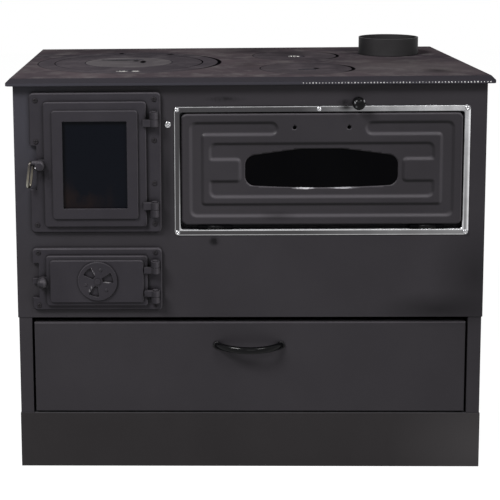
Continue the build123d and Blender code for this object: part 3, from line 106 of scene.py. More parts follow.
class Tree:
    """Short calls for building a node tree."""

    def __init__(self, tree: bpy.types.NodeTree) -> None:
        """Keep the tree of a material, a world or a group."""
        self.tree = tree

    @classmethod
    def emptied(cls, owner: bpy.types.ID) -> "Tree":
        """Return the tree of a new material or world, without its first nodes.

        Args:
            owner: The material or world.

        Returns:
            Its empty tree.
        """
        owner.use_nodes = True
        owner.node_tree.nodes.clear()
        return cls(owner.node_tree)

    def node(self, kind: str, **inputs: object) -> bpy.types.Node:
        """Add a node and set its properties and inputs.

        Args:
            kind: The node's type name.
            inputs: A property's name and value, or an input's name with underscores for spaces, and
                the value or the output socket that feeds it.

        Returns:
            The new node.
        """
        made = self.tree.nodes.new(kind)
        for key, value in inputs.items():
            if hasattr(made, key) and not isinstance(value, Socket):
                setattr(made, key, value)
            else:
                self.feed(made, key.replace("_", " "), value)
        return made

    def feed(self, node: bpy.types.Node, name: str, value: object) -> None:
        """Set or link one input.

        Args:
            node: The node that takes the value.
            name: The input's name, without regard to case, or its number as text.
            value: A number, a colour, a vector or an output socket.
        """
        if name.isdigit():
            socket = node.inputs[int(name)]
        else:
            socket = next(s for s in node.inputs if s.name.lower() == name.lower() and s.enabled)
        if isinstance(value, Socket):
            self.tree.links.new(value, socket)
        elif socket.type == "RGBA" and len(value) == 3:
            socket.default_value = (*value, 1.0)
        else:
            socket.default_value = value

    def fed(self, node: bpy.types.Node, values: dict[int, object]) -> bpy.types.Node:
        """Set or link a node's numbered inputs.

        Args:
            node: The node that takes the values.
            values: Each input's number, and the value or the output socket that feeds it.

        Returns:
            The same node.
        """
        for number, value in values.items():
            self.feed(node, str(number), value)
        return node

    def math(self, operation: str, first: object, second: object = 0.0) -> Socket:
        """Return the result of a Math node."""
        made = self.node("ShaderNodeMath", operation=operation)
        return self.fed(made, {0: first, 1: second}).outputs[0]

    def vector(self, operation: str, first: object, second: object) -> bpy.types.Node:
        """Return a Vector Math node fed with two vectors."""
        return self.fed(self.node("ShaderNodeVectorMath", operation=operation), {0: first, 1: second})

    def part(self, vector: Socket, axis: str) -> Socket:
        """Return a vector's X, Y or Z."""
        return self.node("ShaderNodeSeparateXYZ", Vector=vector).outputs[axis]

    def own_place(self) -> Socket:
        """Return the place on the object, in the stove's frame and in metres."""
        return self.node("ShaderNodeTexCoord").outputs["Object"]

    def ramp(self, value: Socket, low: float, high: float, start: float = 0.0,
             end: float = 1.0) -> Socket:
        """Return a value spread from one range to another, held at its ends.

        Args:
            value: The socket to read.
            low: The value that gives start.
            high: The value that gives end.
            start: Result at low.
            end: Result at high.

        Returns:
            The result's socket.
        """
        made = self.node("ShaderNodeMapRange", clamp=True, Value=value)
        for name, number in (("From Min", low), ("From Max", high), ("To Min", start), ("To Max", end)):
            made.inputs[name].default_value = number
        return made.outputs["Result"]

    def mix(self, share: object, first: object, second: object) -> Socket:
        """Return a mix of two colours, share being how much of the second it takes."""
        made = self.node("ShaderNodeMix", data_type="RGBA")
        return self.fed(made, {0: share, 6: first, 7: second}).outputs[2]

    def show_pale(self, lighting: bpy.types.Node, pale: bpy.types.Node, output: str) -> None:
        """End the tree with one shader that lights the stove and a pale one that is seen.

        Args:
            lighting: The shader that diffuse rays meet.
            pale: The shader that camera rays meet, also by way of metal and glass.
            output: The output node's type name.
        """
        path = self.node("ShaderNodeLightPath").outputs
        seen = self.math("MAXIMUM", path["Is Camera Ray"], path["Is Glossy Ray"])
        seen = self.math("MAXIMUM", seen, path["Is Transmission Ray"])
        mixed = self.fed(self.node("ShaderNodeMixShader"),
                         {0: seen, 1: lighting.outputs[0], 2: pale.outputs[0]})
        self.node(output, Surface=mixed.outputs[0])


class Group(Tree):
    """The tree of a shader group with named number inputs and outputs."""

    def __init__(self, name: str, inputs: dict[str, float], outputs: Sequence[str]) -> None:
        """Make the group with its sockets.

        Args:
            name: The group's name.
            inputs: Number inputs and their defaults.
            outputs: The names of its number outputs.
        """
        super().__init__(bpy.data.node_groups.new(name, "ShaderNodeTree"))
        face = self.tree.interface
        for label, default in inputs.items():
            socket = face.new_socket(label, in_out="INPUT", socket_type="NodeSocketFloat")
            socket.default_value = default
        for label in outputs:
            face.new_socket(label, in_out="OUTPUT", socket_type="NodeSocketFloat")
        self.given = self.node("NodeGroupInput").outputs
        self.result = self.node("NodeGroupOutput")

    def put_out(self, **values: Socket) -> bpy.types.NodeTree:
        """Feed the group's outputs.

        Args:
            values: Each output's name and the socket that feeds it.

        Returns:
            The finished group.
        """
        for name, value in values.items():
            self.feed(self.result, name, value)
        return self.tree


class Effects:
    """Shader groups that several finishes use, each built once. Their lengths are metres."""

    def __init__(self) -> None:
        """Build every group."""
        self.mottle = self._mottle()
        self.grain = self._grain()
        self.brushing = self._brushing()
        self.edges = self._edges()
        self.crevices = self._crevices()

    @staticmethod
    def _mottle() -> bpy.types.NodeTree:
        """Build the group of slow, cloudy variation: handling marks, soot and heat.

        Returns:
            The group, with outputs Cloud and Speckle.
        """
        group = Group("mottle", {"Scale": 6.0, "Stretch": 1.0, "Contrast": 0.5}, ("Cloud", "Speckle"))
        place, scale = group.own_place(), group.given["Scale"]
        stretch = group.node("ShaderNodeCombineXYZ", X=1.0, Y=1.0, Z=group.given["Stretch"])
        drawn = group.vector("MULTIPLY", place, stretch.outputs[0]).outputs[0]
        cloud = group.node("ShaderNodeTexNoise", Vector=drawn, Scale=scale, Detail=6.0, Roughness=0.6)
        speckle = group.node("ShaderNodeTexNoise", Vector=place, Detail=3.0, Roughness=0.7,
                             Scale=group.math("MULTIPLY", scale, 14.0))
        widened = group.math("MULTIPLY", group.math("SUBTRACT", cloud.outputs["Fac"], 0.5),
                             group.math("MULTIPLY", group.given["Contrast"], 2.0))
        return group.put_out(Cloud=group.math("ADD", widened, 0.5),
                             Speckle=group.ramp(speckle.outputs["Fac"], 0.35, 0.7))

    @staticmethod
    def _grain() -> bpy.types.NodeTree:
        """Build the group of fine surface relief: cast sand texture or sprayed paint.

        Returns:
            The group, with output Height.
        """
        group = Group("grain", {"Scale": 900.0, "Pits": 0.3}, ("Height",))
        place, scale = group.own_place(), group.given["Scale"]
        fine = group.node("ShaderNodeTexNoise", Vector=place, Scale=scale, Detail=2.0)
        pits = group.node("ShaderNodeTexVoronoi", Vector=place,
                          Scale=group.math("MULTIPLY", scale, 0.22))
        depth = group.math("MULTIPLY", group.ramp(pits.outputs["Distance"], 0.0, 0.45),
                           group.given["Pits"])
        return group.put_out(Height=group.math("ADD", fine.outputs["Fac"], depth))

    @staticmethod
    def _brushing() -> bpy.types.NodeTree:
        """Build the group of fine lines along X, left by grinding or drawing.

        Returns:
            The group, with output Lines.
        """
        group = Group("brushing", {"Fineness": 2500.0}, ("Lines",))
        fineness = group.given["Fineness"]
        scale = group.node("ShaderNodeCombineXYZ", X=group.math("MULTIPLY", fineness, 0.01),
                           Y=fineness, Z=fineness)
        drawn = group.vector("MULTIPLY", group.own_place(), scale.outputs[0]).outputs[0]
        lines = group.node("ShaderNodeTexNoise", Vector=drawn, Scale=1.0, Detail=2.0)
        return group.put_out(Lines=lines.outputs["Fac"])

    @staticmethod
    def _edges() -> bpy.types.NodeTree:
        """Build the group that finds outer edges from how far a rounded normal turns.

        Returns:
            The group, with one output: the share of outer edge.
        """
        group = Group("edges", {"Width": 0.0015, "Breakup": 60.0}, ("Wear",))
        rounded = group.node("ShaderNodeBevel", samples=4, Radius=group.given["Width"])
        normal = group.node("ShaderNodeNewGeometry").outputs["Normal"]
        facing = group.vector("DOT_PRODUCT", rounded.outputs[0], normal)
        noise = group.node("ShaderNodeTexNoise", Vector=group.own_place(), Detail=4.0,
                           Scale=group.given["Breakup"])
        edge = group.ramp(facing.outputs["Value"], 0.995, 0.8)
        broken = group.ramp(noise.outputs["Fac"], 0.4, 0.62)
        return group.put_out(Wear=group.math("MULTIPLY", edge, broken))

    @staticmethod
    def _crevices() -> bpy.types.NodeTree:
        """Build the group that finds corners and gaps, where painted shade darkens the surface.

        Returns:
            The group, with one output: the share of painted shade.
        """
        group = Group("crevices", {"Reach": 0.006}, ("Grime",))
        open_share = group.node("ShaderNodeAmbientOcclusion", samples=8, Distance=group.given["Reach"])
        return group.put_out(Grime=group.ramp(open_share.outputs["AO"], 0.85, 0.35))


@dataclass(frozen=True)
class Mark:
    """A mark on a surface. Over the outer share of its reach called soft, its strength fades away."""

    centre: Point
    reach: Point
    strength: float = 1.0
    soft: float = 0.6
    tone: Optional[Colour] = None


@dataclass(frozen=True)
class Seam:
    """A round hob seam with painted gap shade: faint and thin on the left, full and thick at its right
    end.
    """

    centre: Span
    radius: float
    thin: float = 1.6
    thick: float = 3.4
    faint: float = 0.25


class Shader:
    """One material on a Principled shader, with calls that add the shared effects."""

    def __init__(self, name: str, effects: Effects) -> None:
        """Make an empty material.

        Args:
            name: The material's name.
            effects: The shared shader groups.
        """
        self.material = bpy.data.materials.new(name)
        self.tree = Tree.emptied(self.material)
        self.effects = effects
        self.principled = self.tree.node("ShaderNodeBsdfPrincipled")
        self.tree.node("ShaderNodeOutputMaterial", Surface=self.principled.outputs[0])

    def set(self, **values: object) -> None:
        """Set the shader's inputs, with underscores for the spaces in their names."""
        for name, value in values.items():
            self.tree.feed(self.principled, name.replace("_", " "), value)

    def effect(self, group: bpy.types.NodeTree, **values: float) -> bpy.types.bpy_prop_collection:
        """Return the outputs of a shared group, placed with its own values."""
        return self.tree.node("ShaderNodeGroup", node_tree=group, **values).outputs

    def mottle(self, scale: float, contrast: float, stretch: float = 1.0) -> tuple[Socket, Socket]:
        """Return the cloud and the speckle of slow variation."""
        outputs = self.effect(self.effects.mottle, Scale=scale, Stretch=stretch, Contrast=contrast)
        return outputs["Cloud"], outputs["Speckle"]

    def place(self, centre: Point = (0.0, 0.0, 0.0), reach: Point = (1.0, 1.0, 1.0)) -> Socket:
        """Return the place on the object from a centre, in units of a reach along each axis."""
        moved = self.tree.vector("SUBTRACT", self.tree.own_place(), tuple(v * MM for v in centre))
        return self.tree.vector("DIVIDE", moved.outputs[0], tuple(v * MM for v in reach)).outputs[0]

    def distance(self, centre: Point, reach: Point) -> Socket:
        """Return how far the surface lies from a centre, in units of a reach along each axis."""
        length = self.tree.node("ShaderNodeVectorMath", operation="LENGTH")
        return self.tree.fed(length, {0: self.place(centre, reach)}).outputs["Value"]

    def axis(self, name: str) -> Socket:
        """Return one of the object's own coordinates."""
        return self.tree.part(self.place(), name)

    def facing(self, axis: str) -> Socket:
        """Return how far the surface faces along an axis, from -1 to 1."""
        return self.tree.part(self.tree.node("ShaderNodeNewGeometry").outputs["Normal"], axis)

    def patch(self, mark: Mark) -> Socket:
        """Return a mask that is full in the middle of a mark and fades out at its border."""
        away = self.distance(mark.centre, mark.reach)
        return self.tree.ramp(away, 1.0, 1.0 - mark.soft, 0.0, mark.strength)

    def crescent(self, seam: Seam) -> Socket:
        """Return a mask along a round seam, widest at its right end.

        Args:
            seam: The seam.

        Returns:
            The mask's socket.
        """
        tree, any_height = self.tree, 1.0e6
        centre, reach = (*seam.centre, 0.0), (1.0, 1.0, any_height)
        off = tree.math("ABSOLUTE", tree.math("SUBTRACT", self.distance(centre, reach), seam.radius))
        across = tree.part(self.place(centre, reach), "X")
        side = tree.ramp(across, seam.radius * 0.55, seam.radius)
        width = tree.math("ADD", tree.math("MULTIPLY", side, seam.thick - seam.thin), seam.thin)
        line = tree.ramp(tree.math("DIVIDE", off, width), 1.0, 0.6)
        return tree.math("MULTIPLY", line, tree.ramp(side, 0.0, 1.0, seam.faint, 1.0))

    def bump(self, height: Socket, relief: float, rounding: float = 0.0) -> None:
        """Feed a height to the shader's normal, over edges that look rounded.

        Args:
            height: The height's socket.
            relief: Depth of the relief.
            rounding: Radius of the edges.
        """
        bump = self.tree.node("ShaderNodeBump", Height=height, Distance=relief * MM, Strength=1.0)
        if rounding:
            soft = self.tree.node("ShaderNodeBevel", samples=6, Radius=rounding * MM)
            self.tree.feed(bump, "Normal", soft.outputs[0])
        self.set(Normal=bump.outputs[0])


# ------------------------------------------------------------------------------------------------
# Kinds of finish
# ------------------------------------------------------------------------------------------------


@dataclass(frozen=True)
class Coat:
    """A finish: the name of its material, and the nodes that each kind of finish lays."""

    name: str

    def build(self, effects: Effects) -> bpy.types.Material:
        """Return the finish's material.

        Args:
            effects: The shared shader groups.

        Returns:
            The new material.
        """
        shader = Shader(self.name, effects)
        self.lay(shader, shader.tree)
        return shader.material

    def lay(self, shader: Shader, tree: Tree) -> None:
        """Add the finish's own nodes to an empty shader and its tree."""
        raise NotImplementedError


@dataclass(frozen=True)
class Paint(Coat):
    """Dark heat-proof paint or enamel on sheet or castings.

    Painted light and shade: surfaces that turn up or to the right take a painted light tone, and those
    that turn down or to the left a painted shade tone, each by its own share.
    """

    colour: Colour
    light: Colour
    roughness: float = 0.42
    spread: float = 0.12
    cloud_scale: float = 5.0
    grain_scale: float = 1400.0
    relief: float = 0.02
    pits: float = 0.0
    # Lighter outer edges: worn edges, and on the black enamel a painted sheen along the rims.
    wear: float = 0.0
    wear_colour: Colour = (0.16, 0.155, 0.155)
    rounding: float = 1.2
    shine: float = 0.08
    # Painted light and shade by facing: the shares for surfaces that turn up, sideways and down, and the
    # two tones.
    lift: float = 0.0
    lifted: Colour = linear(84, 81, 85)
    side: float = 0.0
    drop: float = 0.0
    dropped: Colour = linear(14, 13, 15)
    # Painted shade in corners and gaps: its share and reach.
    grime: float = 0.0
    grime_reach: float = 6.0
    # Marks, most of them painted shadows, highlights and pools of light.
    smudges: tuple[Mark, ...] = ()

    def lay(self, shader: Shader, tree: Tree) -> None:
        """Mix the tone with worn edges and painted edge sheen, painted light and shade, marks and corner
        shade.

        Args:
            shader: The empty shader.
            tree: Its tree.
        """
        cloud, speckle = shader.mottle(self.cloud_scale, contrast=0.8, stretch=0.8)
        tone = tree.mix(cloud, self.colour, self.light)
        # Lighter outer edges: worn edges, and on the black enamel a painted sheen along the rims.
        if self.wear:
            worn = tree.math("MULTIPLY", shader.effect(shader.effects.edges)["Wear"], self.wear)
            tone = tree.mix(worn, tone, self.wear_colour)
        # Painted light on surfaces that turn up, painted shade on those that turn down.
        if self.lift:
            up = shader.facing("Z")
            tone = tree.mix(tree.ramp(up, 0.05, 0.5, 0.0, self.lift), tone, self.lifted)
            tone = tree.mix(tree.ramp(up, -0.04, -0.4, 0.0, self.drop), tone, self.dropped)
        # Painted light on surfaces that turn right, painted shade on those that turn left.
        if self.side:
            right = shader.facing("X")
            tone = tree.mix(tree.ramp(right, 0.05, 0.5, 0.0, self.side), tone, self.lifted)
            tone = tree.mix(tree.ramp(right, -0.05, -0.4, 0.0, self.side), tone, self.dropped)
        # Marks: painted shadows, highlights and pools of light among others; dark ones take the painted
        # shade tone.
        for surface_mark in self.smudges:
            mask = shader.patch(surface_mark)
            if surface_mark.soft < 1.0:
                mask = tree.math("MULTIPLY", mask, tree.ramp(speckle, 0.2, 0.7, 0.3, 1.0))
            tone = tree.mix(mask, tone, surface_mark.tone or self.dropped)
        # Painted shade: darker in corners and gaps, found by ambient occlusion.
        if self.grime:
            corner = shader.effect(shader.effects.crevices, Reach=self.grime_reach * MM)["Grime"]
            tone = tree.mix(tree.math("MULTIPLY", corner, self.grime), tone, self.dropped)
        half = self.spread / 2
        rough = tree.ramp(cloud, 0.0, 1.0, self.roughness - half, self.roughness + half)
        rough = tree.math("ADD", rough, tree.math("MULTIPLY", speckle, 0.06))
        shader.set(Base_Color=tone, Roughness=rough, Specular_IOR_Level=self.shine)
        grain = shader.effect(shader.effects.grain, Scale=self.grain_scale, Pits=self.pits)
        shader.bump(grain["Height"], self.relief, self.rounding)


@dataclass(frozen=True)
class HobIron(Coat):
    """Bare oiled iron: brown heat marks on top, painted shade on the bevel, grey edges, sooted and stained
    patches, and seams darkened with painted gap shade.
    """

    dark: Colour = linear(50, 46, 51)
    brown: Colour = linear(78, 70, 73)
    worn: Colour = linear(98, 94, 94)
    edge: Colour = linear(49, 48, 53)
    # Painted shade on the bevel of the plate's front edge.
    bevel: Colour = linear(42, 40, 44)
    # The soot tone also lays the painted gap shade of the seams.
    soot: Colour = linear(5, 5, 6)
    glint: Colour = linear(215, 212, 208)
    seams: tuple[Seam, ...] = ()
    stains: tuple[Mark, ...] = ()
    glints: tuple[Mark, ...] = ()

    def lay(self, shader: Shader, tree: Tree) -> None:
        """Mix the iron's tones, its stained patches and painted shade, seams and glints. It is matt, so
        that dark marks stay dark.

        Args:
            shader: The empty shader.
            tree: Its tree.
        """
        cloud, _ = shader.mottle(5.0, contrast=1.5)
        close, speckle = shader.mottle(26.0, contrast=1.3)
        tone = tree.mix(cloud, self.dark, self.brown)
        tone = tree.mix(tree.ramp(close, 0.45, 1.0, 0.0, 0.55), tone, self.worn)
        # Stained and sooted patches, and painted shade such as the shadow in front of the flue collar.
        for tone_mark in self.stains:
            tone = tree.mix(shader.patch(tone_mark), tone, tone_mark.tone or self.soot)
        up = shader.facing("Z")
        # Painted shade on faces that turn partly up: the rounded front bevel.
        tone = tree.mix(tree.ramp(up, 0.93, 0.99), self.bevel, tone)
        tone = tree.mix(tree.ramp(up, 0.3, 0.75), self.edge, tone)
        # Painted gap shade along the seams, thickest at their right ends.
        for seam in self.seams:
            tone = tree.mix(shader.crescent(seam), tone, self.soot)
        for glint in self.glints:
            broken = tree.ramp(speckle, 0.25, 0.6)
            tone = tree.mix(tree.math("MULTIPLY", shader.patch(glint), broken), tone, self.glint)
        shader.set(Base_Color=tone, Roughness=tree.ramp(close, 0.1, 0.9, 0.46, 0.66),
                   Specular_IOR_Level=0.0)
        grain = shader.effect(shader.effects.grain, Scale=700.0, Pits=0.7)
        shader.bump(grain["Height"], relief=0.18, rounding=2.0)


@dataclass(frozen=True)
class TrimStrip(Coat):
    """Bare drawn strip round the oven door, its colour carrying painted light and shade: the reflection
    of a dark room on the left and a bright window on the right, painted highlights along its lips and
    at its right end, painted shade along the inner edge of its upper part and the painted shadow of the
    damper knob.

    The rise and fall of the lips are distances inwards from the strip's outer border.
    """

    low: Span = (-133.2, 433.5)
    high: Span = (389.4, 667.5)
    # Painted reflection grows along X over the first span; the second takes a painted highlight.
    brighter: Span = (90.0, 350.0)
    polished_end: Span = (384.0, 388.0)
    outer_rise: Span = (0.2, 0.9)
    outer_fall: Span = (2.6, 1.7)
    inner_rise: Span = (8.5, 9.5)
    shaded_rise: Span = (9.5, 10.7)
    # Painted shadow of the damper knob.
    shade: Mark = Mark((171.0, -237.0, 664.5), (15.0, 30.0, 8.0), 0.9, 0.8)

    def lay(self, shader: Shader, tree: Tree) -> None:
        """Mix the strip's painted reflections along it, and its painted highlights and shade across it.

        Args:
            shader: The empty shader.
            tree: Its tree.
        """
        x, z = shader.axis("X"), shader.axis("Z")
        # Painted reflections: dark on the left, bright towards the right, lighter along the top.
        right = tree.ramp(x, *self.brighter)
        bottom = tree.ramp(z, self.high[1], self.low[1])
        above = tree.mix(right, linear(64, 63, 65), linear(176, 176, 178))
        below = tree.mix(right, linear(64, 63, 64), linear(118, 118, 119))
        tone = tree.mix(bottom, above, below)
        # Painted highlight at the strip's right end.
        tone = tree.mix(tree.ramp(x, *self.polished_end, 0.0, 0.75), tone, linear(244, 244, 246))
        from_sides = [tree.math("MINIMUM", tree.math("SUBTRACT", place, low),
                                tree.math("SUBTRACT", high, place))
                      for place, low, high in zip((x, z), self.low, self.high)]
        inward = tree.math("MINIMUM", *from_sides)
        # Painted highlights along the outer lip, and along the inner lip of the lower part.
        outer_lip_highlight = tree.math("MULTIPLY", tree.ramp(inward, *self.outer_rise),
                              tree.ramp(inward, *self.outer_fall))
        tone = tree.mix(tree.math("MULTIPLY", outer_lip_highlight, 0.45), tone, linear(226, 226, 228))
        inner_lip_highlight = tree.math("MULTIPLY", tree.ramp(inward, *self.inner_rise),
                              tree.ramp(bottom, 0.3, 1.0, 0.0, 0.75))
        tone = tree.mix(inner_lip_highlight, tone, linear(216, 216, 218))
        # Painted shade along the inner edge of the upper part.
        shaded = tree.math("MULTIPLY", tree.ramp(inward, *self.shaded_rise),
                           tree.ramp(bottom, 0.5, 0.0, 0.0, 0.6))
        tone = tree.mix(shaded, tone, linear(34, 34, 36))
        # Painted shadow of the damper knob.
        tone = tree.mix(shader.patch(self.shade), tone, linear(20, 20, 21))
        cloud, _ = shader.mottle(30.0, contrast=1.2)
        tone = tree.mix(tree.ramp(cloud, 0.2, 0.8, 0.0, 0.22), tone, linear(70, 69, 70))
        shader.set(Base_Color=tone, Metallic=1.0, Roughness=tree.ramp(cloud, 0.0, 1.0, 0.3, 0.2))
        shader.bump(shader.effect(shader.effects.brushing)["Lines"], relief=0.004, rounding=0.6)


@dataclass(frozen=True)
class BrightMetal(Coat):
    """Polished or drawn metal."""

    colour: Colour
    roughness: float = 0.16
    tarnish: float = 0.1
    # Marks of painted light and shade.
    smudges: tuple[Mark, ...] = ()

    def lay(self, shader: Shader, tree: Tree) -> None:
        """Mix the metal with its tarnish and its marks of painted light and shade.

        Args:
            shader: The empty shader.
            tree: Its tree.
        """
        cloud, _ = shader.mottle(18.0, contrast=0.9)
        dull = tuple(channel * (1.0 - 3.0 * self.tarnish) for channel in self.colour)
        tone = tree.mix(cloud, dull, self.colour)
        # Painted light and shade from the marks.
        for surface_mark in self.smudges:
            tone = tree.mix(shader.patch(surface_mark), tone, surface_mark.tone)
        shader.set(Base_Color=tone, Metallic=1.0,
                   Roughness=tree.ramp(cloud, 0.0, 1.0, self.roughness + self.tarnish,
                                       self.roughness - self.tarnish / 2))
        shader.bump(shader.effect(shader.effects.brushing)["Lines"], relief=0.004, rounding=0.6)


@dataclass(frozen=True)
class DarkGlass(Coat):
    """Glass that is printed black or smoked by the fire. Within a mark it turns cloudily to a second tone:
    a slightly lighter black on the oven window, a painted warm glow on the fire door.
    """

    colour: Colour
    haze: Colour
    roughness: float
    haze_share: float
    transmission: float
    shine: float
    hazy: Mark

    def lay(self, shader: Shader, tree: Tree) -> None:
        """Mix the glass with its second tone, which on the fire door is a painted warm glow.

        Args:
            shader: The empty shader.
            tree: Its tree.
        """
        cloud, speckle = shader.mottle(9.0, contrast=1.4, stretch=0.5)
        share = tree.math("MULTIPLY", tree.ramp(cloud, 0.2, 0.8, 0.0, self.haze_share),
                          shader.patch(self.hazy))
        shader.set(Base_Color=tree.mix(share, self.colour, self.haze),
                   Roughness=tree.ramp(speckle, 0.0, 1.0, self.roughness, self.roughness + 0.03),
                   Transmission_Weight=self.transmission, Specular_IOR_Level=self.shine)


@dataclass(frozen=True)
class Firebrick(Coat):
    """Rough fireclay, sooted from below."""

    def lay(self, shader: Shader, tree: Tree) -> None:
        """Mix clay and soot.

        Args:
            shader: The empty shader.
            tree: Its tree.
        """
        cloud, speckle = shader.mottle(12.0, contrast=1.6)
        clay = tree.mix(speckle, linear(152, 132, 108), linear(186, 166, 140))
        soot = tree.ramp(cloud, 0.3, 0.8, 0.15, 0.8)
        shader.set(Base_Color=tree.mix(soot, clay, linear(48, 42, 38)), Roughness=0.9)
        shader.bump(shader.effect(shader.effects.grain, Scale=420.0, Pits=0.9)["Height"], relief=0.4)


@dataclass(frozen=True)
class Rope(Coat):
    """Woven glass-fibre rope."""

    def lay(self, shader: Shader, tree: Tree) -> None:
        """Mix the fibre's tones under a light fuzz.

        Args:
            shader: The empty shader.
            tree: Its tree.
        """
        cloud, _ = shader.mottle(60.0, contrast=1.0)
        shader.set(Base_Color=tree.mix(cloud, linear(70, 68, 64), linear(118, 114, 106)),
                   Roughness=0.95, Sheen_Weight=0.3)
        shader.bump(shader.effect(shader.effects.grain, Scale=2200.0, Pits=0.2)["Height"], relief=0.2)


# ------------------------------------------------------------------------------------------------
# Painted light and shade, other marks on the surfaces, and every finish
# ------------------------------------------------------------------------------------------------


def on_front(x: float, z: float, wide: float, high: float, strength: float, soft: float,
             tone: Optional[Colour] = None, y: float = CASING_FACE, deep: float = 30.0) -> Mark:
    """Return a mark on the stove's front, wide and high being its reach along X and Z."""
    return Mark((x, y, z), (wide, deep, high), strength, soft, tone)


def on_plate(x: float, y: float, wide: float, deep: float, strength: float = 1.0, soft: float = 0.6,
             tone: Optional[Colour] = None) -> Mark:
    """Return a mark on the hob, wide and deep being its reach along X and Y."""
    return Mark((x, y, PLATE_TOP), (wide, deep, 9.0), strength, soft, tone)


BLACK = linear(2, 2, 3)
EVERYWHERE = Mark((0.0, 0.0, 0.0), (5000.0, 5000.0, 5000.0), 1.0, 0.1)

# Painted light and shade on the casing: a painted pool of light at top left, a painted shadow left of
# small dark patches, above the left of the trim and under the left oven hinge.
# the damper knob, painted shade left of the trim, low on the right and under the drawer handle, and two
CASING_LIGHT_AND_SHADE = (on_front(-400.0, 640.0, 130.0, 260.0, 0.55, 1.0, linear(52, 52, 59), deep=60.0),
                on_front(-44.0, 679.5, 42.0, 6.5, 0.85, 0.8),
                on_front(-62.0, 423.0, 12.0, 11.0, 1.2, 0.8),
                on_front(170.0, 672.0, 17.0, 8.0, 1.2, 0.8),
                on_front(340.0, 296.0, 120.0, 34.0, 0.75, 1.0),
                on_front(-146.0, 530.0, 14.0, 115.0, 0.75, 1.0),
                on_front(402.0, 360.0, 80.0, 115.0, 0.6, 1.0),
                on_front(-2.0, 214.0, 66.0, 13.0, 0.45, 1.0, y=-236.0, deep=40.0))
PLINTH_MARKS = (on_front(440.0, 40.0, 190.0, 140.0, 0.8, 1.0, linear(58, 56, 57), y=-235.0, deep=90.0),)
# Painted shadows right of and under the fire-door latch hub, a darker patch over the hub, and a painted
# glint on it.
FIRE_LATCH_SHADE_AND_GLINT = (on_front(-354.0, 545.0, 9.0, 42.0, 0.75, 0.9, y=-245.0),
                    on_front(-366.0, 541.0, 11.0, 12.0, 0.8, 0.8, y=-245.0),
                    on_front(-363.0, 562.0, 12.0, 12.0, 0.55, 1.0, y=-252.0),
                    on_front(-377.5, 563.4, 1.9, 2.2, 2.0, 0.8, linear(190, 188, 190), y=-252.0))
# Painted shadows beside the hinge knuckles of the fire and ash doors.
HINGE_SHADOWS = (on_front(-182.0, 652.0, 8.0, 16.0, 0.8, 0.8, y=-246.0),
               on_front(-182.0, 452.0, 8.0, 16.0, 0.8, 0.8, y=-246.0),
               on_front(-186.0, 392.0, 8.0, 14.0, 0.85, 0.8, y=-246.0),
               on_front(-186.0, 328.0, 8.0, 14.0, 0.85, 0.8, y=-246.0))
# Painted shadow right of the ash-door latch knob.
ASH_LATCH_SHADOW = on_front(-363.0, 342.0, 9.0, 26.0, 0.8, 0.9, y=-246.0)
BLADE_EDGES = tuple(on_front(x, z, wide, high, strength, 0.7, linear(120, 118, 120), y=-250.0)
                    for x, z, wide, high, strength in ((-253.0, 354.6, 9.0, 1.8, 2.0),
                                                       (-282.6, 378.2, 1.9, 3.6, 2.0),
                                                       (-280.0, 373.8, 1.9, 3.6, 2.0),
                                                       (-277.4, 369.4, 1.9, 3.6, 2.0),
                                                       (-285.6, 339.0, 1.9, 4.0, 0.7),
                                                       (-282.2, 345.0, 1.9, 4.0, 0.7)))
# Painted reflections on the lip under the oven window, and a dark patch low on the door.
DOOR_REFLECTIONS_AND_PATCH = (on_front(96.0, 519.4, 22.0, 2.4, 2.0, 0.8, linear(170, 168, 172), y=-238.0),
              on_front(168.0, 520.0, 30.0, 2.4, 2.0, 0.8, linear(140, 138, 142), y=-238.0),
              on_front(52.0, 469.0, 36.0, 10.0, 0.45, 1.0, y=-238.0))
# Painted shade on the oven door's hinge knuckles, which sit in the dark gap under the door.
KNUCKLE_SHADE = tuple(Mark((x, -236.5, 448.5), (24.0, 14.0, 7.5), 4.0, 0.3, BLACK)
                     for x in (-59.7, 315.9))
KNOB_GLINTS = (on_front(199.4, 678.6, 2.2, 3.2, 1.6, 0.9, linear(210, 210, 212), y=-262.0, deep=20.0),
               on_front(182.6, 676.4, 1.9, 3.0, 1.0, 0.9, linear(130, 130, 132), y=-262.0, deep=20.0),
               on_front(184.8, 668.6, 2.0, 2.8, 1.0, 0.9, linear(130, 130, 132), y=-262.0, deep=20.0))
# Painted shade at the top of the latch loop and a painted highlight low on its front strand.
LOOP_LIGHT_AND_SHADE = (on_front(-386.0, 568.0, 14.0, 20.0, 0.85, 0.8, linear(58, 55, 55), y=-255.0, deep=60.0),
              on_front(-394.0, 530.0, 7.0, 16.0, 0.7, 1.0, linear(150, 150, 142), y=-262.0, deep=60.0))
# Painted shade on the left and right sides of the flue collar, where its round wall turns from the light.
COLLAR_SIDE_SHADE = (Mark((240.0, 110.0, 735.0), (36.0, 80.0, 70.0), 1.3, 1.0),
                Mark((374.0, 110.0, 735.0), (32.0, 80.0, 70.0), 1.1, 1.0))
# A painted warm glow low in the fire door's glass.
PAINTED_FIRE_GLASS_GLOW = on_front(-292.0, 507.0, 70.0, 44.0, 1.1, 1.0, y=-240.0, deep=60.0)

RING_CENTRE = (-222.0, -2.0)
RING_SEAM = Seam(RING_CENTRE, 178.0, thick=5.0)
INNER_RING_SEAM = Seam(RING_CENTRE, 145.0, thin=1.2, thick=1.8, faint=0.4)
LID_SEAMS = (Seam((113.0, -122.0), 86.0, thick=4.6), Seam((113.0, 96.5), 86.0, thick=4.2))


